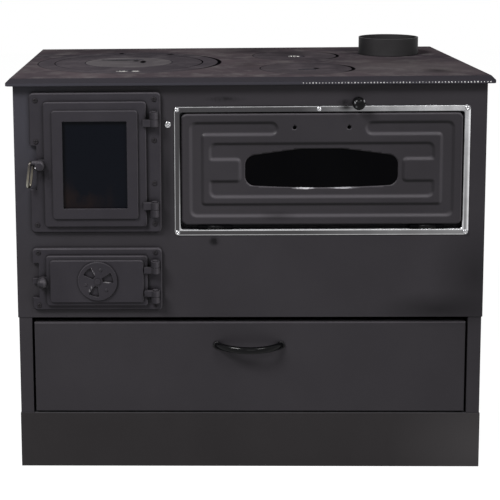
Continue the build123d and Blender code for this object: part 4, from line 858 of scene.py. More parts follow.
class Finish(Enum):
    """Every finish on the stove."""

    CASING = Paint("casing_enamel", linear(36, 34, 37), linear(44, 42, 45), lift=0.3, drop=0.5,
                   grime=0.45, grime_reach=9.0, smudges=CASING_LIGHT_AND_SHADE)
    PLINTH = Paint("plinth_enamel", linear(31, 29, 30), linear(39, 37, 38), lift=0.5, drop=0.5,
                   smudges=PLINTH_MARKS)
    CAST = Paint("cast_iron_paint", linear(34, 32, 36), linear(43, 41, 45), roughness=0.45,
                 grain_scale=800.0, relief=0.09, pits=0.5, cloud_scale=14.0, wear=0.25,
                 wear_colour=linear(80, 78, 80), rounding=2.0, lift=0.35, drop=0.7, side=0.45,
                 grime=0.95, grime_reach=11.0,
                 smudges=(*FIRE_LATCH_SHADE_AND_GLINT, *HINGE_SHADOWS, ASH_LATCH_SHADOW))
    ROSETTE = Paint("rosette_paint", linear(34, 32, 36), linear(43, 41, 45), roughness=0.4,
                    grain_scale=800.0, relief=0.07, pits=0.4, cloud_scale=14.0, wear=0.3,
                    wear_colour=linear(100, 98, 100), rounding=1.5, lift=0.2, drop=0.7, grime=0.9,
                    smudges=BLADE_EDGES)
    DOOR_SHEET = Paint("oven_door_enamel", linear(36, 34, 37), linear(44, 42, 45), roughness=0.34,
                       lift=0.42, drop=0.8, side=0.42, grime=0.5, grime_reach=5.0,
                       smudges=DOOR_REFLECTIONS_AND_PATCH + KNUCKLE_SHADE)
    INNER_SHEET = Paint("inner_sheet_paint", linear(48, 48, 50), linear(62, 61, 62), roughness=0.55,
                        cloud_scale=9.0)
    DARK_SCREW = Paint("sooted_screws", linear(26, 24, 26), linear(36, 34, 37), roughness=0.5,
                       cloud_scale=60.0, grain_scale=900.0)
    # The oven hinges are near-black: painted shade in the gap under the door.
    HINGE = Paint("sooted_hinges", BLACK, linear(5, 5, 6), roughness=0.7, shine=0.02)
    OVEN_ENAMEL = Paint("oven_enamel", linear(34, 34, 37), linear(44, 44, 47), roughness=0.22,
                        grain_scale=300.0, relief=0.03)
    COLLAR = Paint("flue_collar_paint", linear(36, 35, 36), linear(46, 45, 46), roughness=0.5,
                   cloud_scale=20.0, relief=0.05, grain_scale=700.0, smudges=COLLAR_SIDE_SHADE)
    # The black enamel's lighter rims are a painted sheen, and its marks painted glints on the damper knob.
    GLOSS_BLACK = Paint("black_enamel", linear(4, 4, 5), linear(8, 8, 9), roughness=0.12, spread=0.04,
                        relief=0.004, shine=0.1, wear=0.3, wear_colour=linear(110, 108, 110),
                        smudges=KNOB_GLINTS)
    SOOT = Paint("sooted_iron", linear(30, 28, 28), linear(52, 48, 46), roughness=0.7, pits=0.6,
                 grain_scale=500.0, relief=0.2, cloud_scale=16.0)
    HOB = HobIron("hob_iron", seams=(RING_SEAM, *LID_SEAMS),
                  stains=(on_plate(20.0, 190.0, 110.0, 90.0, 0.35, 0.9),
                          # Painted shadow in front of the flue collar.
                          on_plate(290.0, -30.0, 110.0, 90.0, 0.4, 1.0),
                          on_plate(10.0, -60.0, 40.0, 60.0, 0.3, 0.9),
                          on_plate(300.0, -120.0, 170.0, 150.0, 0.5, 1.0, linear(98, 92, 92)),
                          on_plate(346.0, -170.0, 34.0, 40.0, 0.5, 0.9),
                          on_plate(-300.0, 214.0, 170.0, 60.0, 0.3, 0.9)))
    RING = HobIron("hob_ring_iron", dark=linear(52, 49, 53), brown=linear(68, 63, 67),
                   worn=linear(84, 79, 82), seams=(RING_SEAM, INNER_RING_SEAM),
                   stains=(on_plate(-244.0, 160.0, 7.0, 14.0, 0.9, 0.5),
                           on_plate(-141.0, 140.0, 10.0, 12.0, 0.9, 0.5)),
                   glints=(on_plate(-228.0, -147.0, 12.0, 10.0, 1.0, 0.4),
                           on_plate(-203.0, -147.0, 9.0, 9.0, 1.0, 0.4)))
    DISC = HobIron("hob_disc_iron", dark=linear(70, 66, 69), brown=linear(86, 82, 84),
                   worn=linear(102, 98, 99),
                   stains=(on_plate(-194.0, 4.0, 7.0, 26.0, 0.95, 0.4),
                           on_plate(-208.0, 22.0, 9.0, 16.0, 0.8, 0.6),
                           on_plate(-243.0, 30.0, 44.0, 12.0, 0.6, 0.6)))
    LID = HobIron("hob_lid_iron", dark=linear(52, 48, 52), brown=linear(69, 64, 67),
                  worn=linear(84, 77, 81), seams=LID_SEAMS,
                  stains=(on_plate(127.0, 82.0, 7.0, 12.0), on_plate(131.0, -124.0, 7.0, 14.0, 0.9),
                          on_plate(104.0, 140.0, 60.0, 60.0, 0.45, 0.9)),
                  glints=(on_plate(110.0, 84.0, 13.0, 13.0, 1.0, 0.4),))
    TRIM = TrimStrip("bright_trim_strip")
    # Rough beads on the plate's front edge, their bright colour a painted highlight.
    EDGE_BEAD = BrightMetal("worn_edge_metal", linear(170, 168, 168), roughness=0.35)
    CHROME = BrightMetal("polished_rods", linear(200, 200, 200), roughness=0.17)
    SCREW = BrightMetal("bright_screws", linear(158, 158, 160), roughness=0.2, tarnish=0.06)
    STEEL = BrightMetal("plain_steel", linear(112, 111, 110), roughness=0.34, tarnish=0.12)
    NICKEL = BrightMetal("latch_loop_nickel", linear(112, 107, 97), roughness=0.3, smudges=LOOP_LIGHT_AND_SHADE)
    # The fire door's glass takes a painted warm glow low in the glass.
    FIRE_GLASS = DarkGlass("fire_door_glass", linear(7, 9, 15), linear(40, 27, 19), roughness=0.12,
                           haze_share=0.9, transmission=0.06, shine=0.02, hazy=PAINTED_FIRE_GLASS_GLOW)
    OVEN_GLASS = DarkGlass("oven_window_glass", BLACK, linear(5, 5, 6), roughness=0.05,
                           haze_share=0.3, transmission=0.0, shine=0.02, hazy=EVERYWHERE)
    BRICK = Firebrick("firebrick_clay")
    ROPE = Rope("rope_seal")


# ------------------------------------------------------------------------------------------------
# Shop: what every sub-assembly is built with
# ------------------------------------------------------------------------------------------------


class Paintshop:
    """Makes each finish once and puts it on pieces."""

    def __init__(self) -> None:
        """Build the shared effects."""
        self.effects = Effects()
        self.made: dict[Finish, bpy.types.Material] = {}

    def material(self, finish: Finish) -> bpy.types.Material:
        """Return a finish's material, made at its first use.

        Args:
            finish: The finish.

        Returns:
            Its material.
        """
        if finish not in self.made:
            self.made[finish] = finish.value.build(self.effects)
        return self.made[finish]

    def dress(self, piece: bpy.types.Object, finish: Finish) -> None:
        """Put one finish on a whole piece.

        Args:
            piece: The piece to dress.
            finish: Its finish.
        """
        material = self.material(finish)
        if not piece.data.materials:
            piece.data.materials.append(material)
        for place in range(len(piece.data.materials)):
            piece.data.materials[place] = material


@dataclass
class Shop:
    """The loaded frame and the paint shop, with calls to add and dress pieces."""

    frame: dict
    paint: Paintshop

    def dress(self, finish: Finish, *names: str) -> None:
        """Dress nodes of the frame in one finish.

        Args:
            finish: The finish.
            names: The nodes' names.
        """
        for name in names:
            self.paint.dress(self.frame["nodes"][name], finish)
            LOG.info("dressed %s in %s", name, finish.name)

    def add(self, piece: bpy.types.Object, body: str, finish: Finish, slot: str,
            replaced: Sequence[str] = ()) -> None:
        """Dress a new piece and fix it to a body.

        Args:
            piece: The new piece, in place.
            body: The body that it moves with.
            finish: Its finish.
            slot: The record's material slot. It is not used.
            replaced: Frame nodes that the piece stands for.
        """
        self.paint.dress(piece, finish)
        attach(piece, body)
        if replaced:
            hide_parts(*replaced)
        LOG.info("added %s on %s, %d faces", piece.name, body, len(piece.data.polygons))


def mesh_piece(name: str, points: Iterable[Sequence[float]], faces: Iterable[Sequence[int]],
               smooth: bool = True) -> bpy.types.Object:
    """Make a mesh object at the origin.

    Args:
        name: The object's name.
        points: Its points in metres.
        faces: Its faces as indices of points.
        smooth: Whether the faces are shaded smooth.

    Returns:
        The new object, linked to the scene.
    """
    mesh = bpy.data.meshes.new(name)
    mesh.from_pydata([tuple(float(v) for v in p) for p in points], [], [tuple(f) for f in faces])
    mesh.validate()
    if smooth:
        mesh.shade_smooth()
    piece = bpy.data.objects.new(name, mesh)
    bpy.context.scene.collection.objects.link(piece)
    return piece


def applied(piece: bpy.types.Object) -> bpy.types.Object:
    """Turn a piece with modifiers into a plain mesh.

    Args:
        piece: The piece, whose modifiers are applied.

    Returns:
        The same piece without modifiers.
    """
    graph = bpy.context.evaluated_depsgraph_get()
    graph.update()
    made = bpy.data.meshes.new_from_object(piece.evaluated_get(graph), depsgraph=graph)
    piece.modifiers.clear()
    old, piece.data = piece.data, made
    bpy.data.meshes.remove(old)
    made.name = piece.name
    return piece


# ------------------------------------------------------------------------------------------------
# Outlines as signed distances, negative inside
# ------------------------------------------------------------------------------------------------


def rounded_box(x: np.ndarray, z: np.ndarray, half_x: float, half_z: float, radius: float) -> np.ndarray:
    """Return distances to a rounded rectangle round the origin.

    Args:
        x: Places along X.
        z: Places along Z.
        half_x: Half its width.
        half_z: Half its height.
        radius: Its corner radius.

    Returns:
        Signed distances.
    """
    across = np.abs(x) - half_x + radius
    up = np.abs(z) - half_z + radius
    outside = np.hypot(np.maximum(across, 0.0), np.maximum(up, 0.0))
    return outside + np.minimum(np.maximum(across, up), 0.0) - radius


def soft_max(first: np.ndarray, second: np.ndarray, blend: float) -> np.ndarray:
    """Return the larger of two distances, rounded over a blend's width where they meet."""
    share = np.clip(0.5 + 0.5 * (first - second) / blend, 0.0, 1.0)
    return second * (1.0 - share) + first * share + blend * share * (1.0 - share)


def polygon_distance(x: np.ndarray, z: np.ndarray, corners: Sequence[Span]) -> np.ndarray:
    """Return distances to a closed polygon.

    Args:
        x: Places along X.
        z: Places along Z.
        corners: The polygon's corners in order.

    Returns:
        Signed distances.
    """
    nearest = np.full(x.shape, np.inf)
    inside = np.zeros(x.shape, dtype=bool)
    for (x0, z0), (x1, z1) in zip(corners, list(corners[1:]) + [corners[0]]):
        run, rise = x1 - x0, z1 - z0
        along = np.clip(((x - x0) * run + (z - z0) * rise) / (run * run + rise * rise), 0.0, 1.0)
        nearest = np.minimum(nearest, np.hypot(x - x0 - along * run, z - z0 - along * rise))
        spans = (z0 > z) != (z1 > z)
        crossing = x < run * (z - z0) / (rise if rise else 1e-9) + x0
        inside ^= spans & crossing
    return np.where(inside, -nearest, nearest)


def smooth_step(value: np.ndarray) -> np.ndarray:
    """Return an eased 0 to 1 value."""
    held = np.clip(value, 0.0, 1.0)
    return held * held * (3.0 - 2.0 * held)


@dataclass
class PressedDoor:
    """Outer sheet of the oven door: pressed band and figure, rolled edge, window and handle holes.

    The outlines run in X from the door's middle and in Z from its lower edge. The centre, foot, face and
    hinge pins are places in the stove's frame. Fields that end in half are half a width and half a height.
    """

    centre_x: float = 128.1
    foot: float = 453.5
    half_width: float = 247.8
    height: float = 200.5
    face: float = -239.5
    depth: float = 17.5
    corner: float = 9.0
    roll: float = 3.0
    sheet: float = 1.5
    press: float = 3.0
    slope: float = 6.4
    band_half: Span = (231.3, 83.75)
    band_width: float = 20.5
    band_corners: Span = (10.25, 5.0)
    band_gap_half: Span = (88.75, 18.0)
    figure_z: float = 98.8
    figure_half: Span = (197.0, 47.75)
    figure_corner: float = 10.0
    notch_x: float = 203.0
    notch_half: Span = (59.0, 20.0)
    notch_corner: float = 6.0
    notch_blend: float = 5.0
    window_z: float = 97.6
    window_tips: Span = (117.0, 10.3)
    window_crown: Span = (35.0, 21.3)
    window_drop: float = 8.15
    window_sag: float = 4.5
    window_rounding: float = 18.0
    hole_x: float = 48.0
    hole_z: float = 175.5
    hole_radius: float = 3.5
    hinge_inset: float = 60.0
    pin_y: float = -236.5
    pin_z: float = 449.5
    knuckle_radius: float = 3.0
    knuckle_length: float = 30.0
    strap: Span = (3.0, 5.0)
    strap_back: float = 1.0
    strap_up: float = 2.5
    border_reach: float = 0.3
    mesh_pitch: float = 2.6
    rim_steps: tuple[float, ...] = (0.25, 0.7, 1.4, 2.2, 3.2)
    slope_steps: tuple[float, ...] = (-2.6, -1.7, -0.85, 0.0, 0.85, 1.7, 2.6)

    def band(self, x: np.ndarray, z: np.ndarray) -> np.ndarray:
        """Return distances to the band, which is open above the window and has round ends.

        Args:
            x: Places along X.
            z: Places along Z.

        Returns:
            Signed distances.
        """
        middle = z - self.height / 2
        (wide, high), (outer, inner), width = self.band_half, self.band_corners, self.band_width
        ring = np.maximum(rounded_box(x, middle, wide, high, outer),
                          -rounded_box(x, middle, wide - width, high - width, inner))
        gap, upper = self.band_gap_half[0], middle - high + width / 2
        open_part = rounded_box(x, upper, gap, self.band_gap_half[1], 0.1)
        ends = np.hypot(np.abs(x) - gap, upper) - width / 2
        return np.minimum(np.maximum(ring, -open_part), ends)

    def figure(self, x: np.ndarray, z: np.ndarray) -> np.ndarray:
        """Return distances to the figure round the window, notched on both sides.

        Args:
            x: Places along X.
            z: Places along Z.

        Returns:
            Signed distances.
        """
        middle = z - self.figure_z
        body = rounded_box(x, middle, *self.figure_half, self.figure_corner)
        notch = rounded_box(np.abs(x) - self.notch_x, middle, *self.notch_half, self.notch_corner)
        return soft_max(body, -notch, self.notch_blend)

    def window(self, x: np.ndarray, z: np.ndarray) -> np.ndarray:
        """Return distances to the window: a flat-topped crown above a sagging lower edge.

        Its corners are placed first, and the rounding then widens it on all sides.

        Args:
            x: Places along X.
            z: Places along Z.

        Returns:
            Signed distances.
        """
        level, (tip_x, tip_up), (crown_x, crown_up) = self.window_z, self.window_tips, self.window_crown
        full_half, low_corners = tip_x + self.window_rounding, 13
        top = [(-tip_x, level + tip_up), (-crown_x, level + crown_up), (crown_x, level + crown_up),
               (tip_x, level + tip_up)]
        low = [(place, level - self.window_drop - self.window_sag * (1.0 - (place / full_half) ** 2))
               for place in np.linspace(tip_x, -tip_x, low_corners)]
        return polygon_distance(x, z, top + low) - self.window_rounding

    def holes(self, x: np.ndarray, z: np.ndarray) -> np.ndarray:
        """Return distances to everything that is cut out."""
        handle = np.hypot(np.abs(x) - self.hole_x, z - self.hole_z) - self.hole_radius
        return np.minimum(self.window(x, z), handle)

    def rim(self, x: np.ndarray, z: np.ndarray) -> np.ndarray:
        """Return distances to the door's outer outline."""
        return rounded_box(x, z - self.height / 2, self.half_width, self.height / 2, self.corner)

    def sunk(self, x: np.ndarray, z: np.ndarray) -> np.ndarray:
        """Return how far the face lies behind its front plane.

        Args:
            x: Places along X.
            z: Places along Z.

        Returns:
            Depths behind the front plane.
        """
        nearest = np.minimum(self.band(x, z), self.figure(x, z))
        pressed = smooth_step((self.slope / 2 - nearest) / self.slope)
        inward = np.clip(-self.rim(x, z), 0.0, self.roll)
        rolled = self.roll - np.sqrt(self.roll ** 2 - (self.roll - inward) ** 2)
        return self.press * pressed + rolled

    def _lines(self, low: float, high: float, features: Iterable[float]) -> np.ndarray:
        """Return grid lines close together at features and evenly filled between them.

        Args:
            low: The first line.
            high: The last line.
            features: Where the sheet slopes or is cut.

        Returns:
            The lines' places in order.
        """
        least_gap = 0.2
        marks = {round(low, 2), round(high, 2)}
        for edge, way in ((low, 1.0), (high, -1.0)):
            marks.update(round(edge + way * step, 2) for step in self.rim_steps)
        for place in features:
            marks.update(round(place + step, 2) for step in self.slope_steps
                         if low < place + step < high)
        ordered = sorted(marks)
        kept = [ordered[0]]
        for mark in ordered[1:]:
            start = kept[-1]
            if mark - start >= least_gap:
                parts = max(1, math.ceil((mark - start) / self.mesh_pitch))
                kept += [start + (mark - start) * step / parts for step in range(1, parts + 1)]
        return np.array(kept)

    @staticmethod
    def _settle(x: np.ndarray, z: np.ndarray, field: Callable, chosen: np.ndarray) -> None:
        """Move chosen grid points onto a field's zero line.

        Args:
            x: Places along X, which are changed.
            z: Places along Z, which are changed.
            field: The outline, as a function that returns distances.
            chosen: Which points move.
        """
        step, least_slope, rounds = 0.05, 0.2, 3
        for _ in range(rounds):
            here = field(x, z)
            slope_x = (field(x + step, z) - field(x - step, z)) / (2 * step)
            slope_z = (field(x, z + step) - field(x, z - step)) / (2 * step)
            length = np.maximum(slope_x ** 2 + slope_z ** 2, least_slope)
            x[chosen] -= (here * slope_x / length)[chosen]
            z[chosen] -= (here * slope_z / length)[chosen]

    @staticmethod
    def _border(gone: np.ndarray) -> np.ndarray:
        """Return which grid points lie between kept and removed faces.

        Args:
            gone: Which faces are removed.

        Returns:
            Which points lie at the border.
        """
        padded = np.pad(gone, 1, mode="edge")
        around = np.stack([padded[:-1, :-1], padded[1:, :-1], padded[:-1, 1:], padded[1:, 1:]])
        return around.any(axis=0) & ~around.all(axis=0)

    def piece(self, name: str) -> bpy.types.Object:
        """Return the pressed sheet as one closed piece.

        Args:
            name: The new object's name.

        Returns:
            The piece, in the stove's frame.
        """
        middle, (band_x, band_z), width = self.height / 2, self.band_half, self.band_width
        gap, notch_x = self.band_gap_half[0], self.notch_x - self.notch_half[0]
        wide = (band_x, band_x - width, self.figure_half[0], notch_x, gap + width / 2,
                gap - width / 2, self.hole_x)
        tall = [centre + way * half for way in (-1.0, 1.0)
                for centre, half in ((middle, band_z), (middle, band_z - width),
                                     (self.figure_z, self.figure_half[1]),
                                     (self.figure_z, self.notch_half[1]))]
        columns = self._lines(-self.half_width, self.half_width,
                              [way * place for way in (-1.0, 1.0) for place in wide])
        rows = self._lines(0.0, self.height, tall + [self.hole_z])
        x, z = (grid.copy() for grid in np.meshgrid(columns, rows, indexing="ij"))
        centre_x = (x[:-1, :-1] + x[1:, 1:]) / 2
        centre_z = (z[:-1, :-1] + z[1:, 1:]) / 2
        cut = self.holes(centre_x, centre_z) < 0.0
        beyond = self.rim(centre_x, centre_z) > 0.0
        for gone, field in ((cut, self.holes), (beyond, self.rim)):
            self._settle(x, z, field, self._border(gone))
        number = np.arange(x.size).reshape(x.shape)
        faces = [(number[column, row], number[column + 1, row], number[column + 1, row + 1],
                  number[column, row + 1]) for column, row in zip(*np.nonzero(~(cut | beyond)))]
        points = np.stack([x + self.centre_x, self.sunk(x, z) + self.face, z + self.foot], -1) * MM
        sheet = mesh_piece(name, points.reshape(-1, 3), faces)
        self._walls(sheet)
        thickness = sheet.modifiers.new("thickness", "SOLIDIFY")
        thickness.thickness = self.sheet * MM
        thickness.offset = -1.0
        applied(sheet)
        self._knuckles(sheet)
        sheet.data.shade_smooth()
        return sheet

    def _walls(self, sheet: bpy.types.Object) -> None:
        """Fold the sheet's outer border straight back.

        Args:
            sheet: The sheet, whose mesh is changed.
        """
        form = bmesh.new()
        form.from_mesh(sheet.data)
        loose = [vertex for vertex in form.verts if not vertex.link_faces]
        bmesh.ops.delete(form, geom=loose, context="VERTS")
        front = self.face + self.roll * 0.8
        edges = [edge for edge in form.edges if edge.is_boundary
                 and all(vertex.co.y / MM > front and self._outer(vertex.co) for vertex in edge.verts)]
        rows = 3
        for _ in range(rows):
            grown = bmesh.ops.extrude_edge_only(form, edges=edges)["geom"]
            edges = [item for item in grown if isinstance(item, bmesh.types.BMEdge)]
            points = [item for item in grown if isinstance(item, bmesh.types.BMVert)]
            step = (self.depth - self.roll) / rows * MM
            bmesh.ops.translate(form, verts=points, vec=(0.0, step, 0.0))
        bmesh.ops.recalc_face_normals(form, faces=form.faces)
        if sum(face.normal.y for face in form.faces) > 0.0:
            bmesh.ops.reverse_faces(form, faces=form.faces)
        form.to_mesh(sheet.data)
        form.free()

    def _outer(self, place: Vector) -> bool:
        """Return whether a point lies at the door's outer border."""
        x, z = place.x / MM - self.centre_x, place.z / MM - self.foot
        return bool(abs(self.rim(x, z)) < self.border_reach)

    def _knuckles(self, sheet: bpy.types.Object) -> None:
        """Add the hinge knuckles under the door's lower edge.

        Args:
            sheet: The sheet, whose mesh is changed.
        """
        form = bmesh.new()
        form.from_mesh(sheet.data)
        radius, length = self.knuckle_radius * MM, self.knuckle_length * MM
        for side in (-1.0, 1.0):
            x = self.centre_x + side * (self.half_width - self.hinge_inset)
            tube = Matrix.Translation((x * MM, self.pin_y * MM, self.pin_z * MM))
            tube = tube @ Matrix.Rotation(math.pi / 2, 4, "Y")
            bmesh.ops.create_cone(form, cap_ends=True, segments=24, radius1=radius, radius2=radius,
                                  depth=length, matrix=tube)
            strap = Matrix.Translation((x * MM, (self.pin_y + self.strap_back) * MM,
                                        (self.pin_z + self.strap_up) * MM))
            strap = strap @ Matrix.Diagonal((length, self.strap[0] * MM, self.strap[1] * MM, 1.0))
            bmesh.ops.create_cube(form, size=1.0, matrix=strap)
        form.to_mesh(sheet.data)
        form.free()


# ------------------------------------------------------------------------------------------------
# Repeated pieces, set out by Geometry Nodes
# ------------------------------------------------------------------------------------------------


class Scatter:
    """A Geometry Nodes group that sets one form on many places, each turned and sized by a seed."""

    def __init__(self) -> None:
        """Build the group with its named inputs."""
        self.group = bpy.data.node_groups.new("set_out", "GeometryNodeTree")
        face = self.group.interface
        face.new_socket("Geometry", in_out="OUTPUT", socket_type="NodeSocketGeometry")
        face.new_socket("Places", in_out="INPUT", socket_type="NodeSocketGeometry")
        kinds = {"Form": "NodeSocketObject", "Finish": "NodeSocketMaterial", "Seed": "NodeSocketInt",
                 "Turn Axis": "NodeSocketVector", "Smallest": "NodeSocketFloat",
                 "Largest": "NodeSocketFloat"}
        self.sockets = {name: face.new_socket(name, in_out="INPUT", socket_type=kind).identifier
                        for name, kind in kinds.items()}
        tree = Tree(self.group)
        given = tree.node("NodeGroupInput").outputs
        form = tree.node("GeometryNodeObjectInfo", Object=given["Form"])
        full_turn, later = 6.283, 7.0
        turn = tree.node("FunctionNodeRandomValue", data_type="FLOAT", Min=0.0, Max=full_turn,
                         Seed=given["Seed"])
        turned = tree.node("ShaderNodeVectorMath", operation="SCALE", Scale=turn.outputs[1])
        tree.feed(turned, "0", given["Turn Axis"])
        size = tree.node("FunctionNodeRandomValue", data_type="FLOAT", Min=given["Smallest"],
                         Max=given["Largest"], Seed=tree.math("ADD", given["Seed"], later))
        spread = tree.node("GeometryNodeInstanceOnPoints", Points=given["Places"],
                           Instance=form.outputs["Geometry"], Rotation=turned.outputs[0],
                           Scale=size.outputs[1])
        real = tree.node("GeometryNodeRealizeInstances", Geometry=spread.outputs["Instances"])
        painted = tree.node("GeometryNodeSetMaterial", Geometry=real.outputs["Geometry"],
                            Material=given["Finish"])
        tree.node("NodeGroupOutput", Geometry=painted.outputs["Geometry"])

    def set_out(self, name: str, form: bpy.types.Object, places: Iterable[Point],
                material: bpy.types.Material, seed: int, axis: Point = (0.0, 0.0, 0.0),
                sizes: Span = (1.0, 1.0)) -> bpy.types.Object:
        """Return a plain piece with the form at every place, and take the form away.

        Args:
            name: The new object's name.
            form: The form to repeat, at the origin.
            places: Where it goes.
            material: Its material.
            seed: Seed of its turns and sizes.
            axis: Axis that each one is turned about.
            sizes: Smallest and largest scale.

        Returns:
            The piece, as a plain mesh.
        """
        piece = mesh_piece(name, (tuple(v * MM for v in place) for place in places), [], smooth=False)
        modifier = piece.modifiers.new("set_out", "NODES")
        modifier.node_group = self.group
        values = {"Form": form, "Finish": material, "Seed": seed, "Turn Axis": axis,
                  "Smallest": sizes[0], "Largest": sizes[1]}
        for key, value in values.items():
            modifier[self.sockets[key]] = value
        applied(piece)
        bpy.data.objects.remove(form)
        return piece


@dataclass(frozen=True)
class Screw:
    """A screw with a cross-recessed pan head. The cross is given in shares of the head's radius."""

    radius: float
    height: float
    recess: float
    length: float
    shank_radius: float = 2.5
    dome_share: float = 0.97
    dome_power: float = 3.0
    arm_half_width: float = 0.15
    arm_reach: float = 0.6
    arm_slope: float = 0.08
    grid: int = 22

    def crown(self, x: np.ndarray, z: np.ndarray) -> np.ndarray:
        """Return the head's height over its seat.

        Args:
            x: Places along X, in shares of the radius.
            z: Places along Z, in shares of the radius.

        Returns:
            Heights.
        """
        fall = (np.hypot(x, z) * self.dome_share) ** self.dome_power
        dome = self.height * np.sqrt(np.clip(1.0 - fall, 0.0, 1.0))
        wide, long = self.arm_half_width, self.arm_reach
        cross = np.minimum(np.maximum(np.abs(x) - wide, np.abs(z) - long),
                           np.maximum(np.abs(z) - wide, np.abs(x) - long))
        return dome - self.recess * smooth_step(-cross / self.arm_slope)

    def form(self) -> bpy.types.Object:
        """Return the screw at the origin, its seat in the plane Y = 0 and its head towards the viewer.

        Returns:
            The form to set out.
        """
        count = self.grid
        line = np.linspace(-1.0, 1.0, count + 1)
        u, v = np.meshgrid(line, line, indexing="ij")
        x, z = u * np.sqrt(1.0 - v * v / 2.0), v * np.sqrt(1.0 - u * u / 2.0)
        front, seat = (np.stack([x * self.radius, depth, z * self.radius], -1).reshape(-1, 3) * MM
                       for depth in (-self.crown(x, z), np.zeros_like(x)))
        number = np.arange(len(front)).reshape(u.shape)
        faces = []
        for column in range(count):
            for row in range(count):
                quad = (number[column, row], number[column + 1, row], number[column + 1, row + 1],
                        number[column, row + 1])
                faces += [quad, tuple(len(front) + corner for corner in reversed(quad))]
        border = [*number[:-1, 0], *number[-1, :-1], *number[:0:-1, -1], *number[0, :0:-1]]
        faces += [(second, first, len(front) + first, len(front) + second)
                  for first, second in zip(border, border[1:] + border[:1])]
        form = mesh_piece("screw_form", np.concatenate([front, seat]), faces)
        body = bmesh.new()
        body.from_mesh(form.data)
        shank = Matrix.Translation((0.0, self.length / 2 * MM, 0.0))
        shank = shank @ Matrix.Rotation(math.pi / 2, 4, "X")
        bmesh.ops.create_cone(body, cap_ends=True, segments=20, radius1=self.shank_radius * MM,
                              radius2=self.shank_radius * MM, depth=self.length * MM, matrix=shank)
        body.to_mesh(form.data)
        body.free()
        return form


# ------------------------------------------------------------------------------------------------
# Studio
# ------------------------------------------------------------------------------------------------


@dataclass(frozen=True)
class SoftBox:
    """A rectangular lamp that faces a point. Its power is in watts."""

    name: str
    place: Point
    aim: Point
    size: Span
    power: float

    def build(self) -> None:
        """Make the lamp."""
        data = bpy.data.lights.new(self.name, "AREA")
        data.shape = "RECTANGLE"
        data.size, data.size_y = self.size
        data.energy = self.power
        lamp = bpy.data.objects.new(self.name, data)
        lamp.location = self.place
        lamp.rotation_euler = (Vector(self.aim) - Vector(self.place)).to_track_quat("-Z", "Y").to_euler()
        bpy.context.scene.collection.objects.link(lamp)


@dataclass
class Studio:
    """Floor, soft lights and the camera of the photograph. Angles are degrees."""

    camera_place: Point = (-0.119, -2.254, 0.977)
    yaw_right: float = -1.53
    pitch_down: float = 6.75
    roll: float = -0.60
    focal_pixels: float = 1154.0
    image_pixels: float = 500.0
    shift: Span = (0.1988, -0.366)
    sensor: float = 36.0
    floor_size: float = 14.0
    surroundings: Colour = (0.92, 0.96, 1.0)
    surroundings_strength: float = 0.09
    floor_glow: float = 0.975
    floor_shade: Colour = (0.14, 0.14, 0.14)
    floor_paper: Colour = (0.8, 0.8, 0.8)
    nearest: float = 0.05
    lamps: tuple[SoftBox, ...] = (
        SoftBox("key_left", (-1.7, -2.0, 2.7), (-0.1, -0.2, 0.4), (1.1, 0.9), 138.0),
        SoftBox("key_right", (1.5, -2.1, 2.5), (0.1, -0.2, 0.4), (0.9, 0.8), 40.0),
        SoftBox("fill_front", (0.4, -4.2, 1.5), (0.0, -0.2, 0.3), (1.6, 1.2), 14.0))

    def build(self) -> None:
        """Make the camera, the surroundings, the lights and the floor."""
        self._camera()
        self._world()
        for lamp in self.lamps:
            lamp.build()
        self._floor()
        bpy.context.scene.view_settings.view_transform = "Standard"

    def _camera(self) -> None:
        """Make the camera from the measured viewing angle."""
        data = bpy.data.cameras.new("camera")
        data.sensor_width = self.sensor
        data.lens = self.focal_pixels / self.image_pixels * self.sensor
        data.shift_x, data.shift_y = self.shift
        data.clip_start = self.nearest
        camera = bpy.data.objects.new("camera", data)
        turn = Matrix.Rotation(-math.radians(self.yaw_right), 4, "Z")
        tilt = Matrix.Rotation(math.radians(90.0 - self.pitch_down), 4, "X")
        roll = Matrix.Rotation(math.radians(self.roll), 4, "Z")
        camera.matrix_world = Matrix.Translation(self.camera_place) @ turn @ tilt @ roll
        bpy.context.scene.collection.objects.link(camera)
        bpy.context.scene.camera = camera

    def _world(self) -> None:
        """Make even, dim surroundings that the eye sees as white."""
        world = bpy.data.worlds.new("surroundings")
        tree = Tree.emptied(world)
        dim = tree.node("ShaderNodeBackground", Color=self.surroundings,
                        Strength=self.surroundings_strength)
        pale = tree.node("ShaderNodeBackground", Color=(1.0, 1.0, 1.0), Strength=1.0)
        tree.show_pale(dim, pale, "ShaderNodeOutputWorld")
        bpy.context.scene.world = world

    def _floor(self) -> None:
        """Make the floor, which is seen nearly white and keeps a soft shadow."""
        reach = self.floor_size / 2
        corners = [(-reach, -reach, 0.0), (reach, -reach, 0.0), (reach, reach, 0.0), (-reach, reach, 0.0)]
        floor = mesh_piece("floor", corners, [(0, 1, 2, 3)], smooth=False)
        material = bpy.data.materials.new("floor_paper")
        tree = Tree.emptied(material)
        paper = tree.node("ShaderNodeBsdfDiffuse", Color=self.floor_paper)
        shade = tree.node("ShaderNodeBsdfDiffuse", Color=self.floor_shade)
        glow = tree.node("ShaderNodeEmission", Color=(1.0, 1.0, 1.0), Strength=self.floor_glow)
        pale = tree.fed(tree.node("ShaderNodeAddShader"), {0: shade.outputs[0], 1: glow.outputs[0]})
        tree.show_pale(paper, pale, "ShaderNodeOutputMaterial")
        floor.data.materials.append(material)


# ------------------------------------------------------------------------------------------------
# Sub-assemblies
# ------------------------------------------------------------------------------------------------


@dataclass
class Carcass:
    """Plinth, base, casing, log drawer and the sheet inside."""

    shop: Shop

    def build(self) -> None:
        """Dress the sheet-metal pieces and their fittings."""
        self.shop.dress(Finish.PLINTH, "plinth")
        self.shop.dress(Finish.CASING, "base_side_left", "base_side_right", "base_back", "front_panel",
                        "side_panel_left", "side_panel_right", "back_panel", "drawer_front")
        self.shop.dress(Finish.INNER_SHEET, "base_floor", "casing_floor", "drawer_box",
                        "drawer_runners", "smoke_floor", "smoke_baffle")
        self.shop.dress(Finish.GLOSS_BLACK, "drawer_handle", "damper_knob")
        self.shop.dress(Finish.STEEL, "drawer_handle_screws", "damper_rod", "collar_bolts")


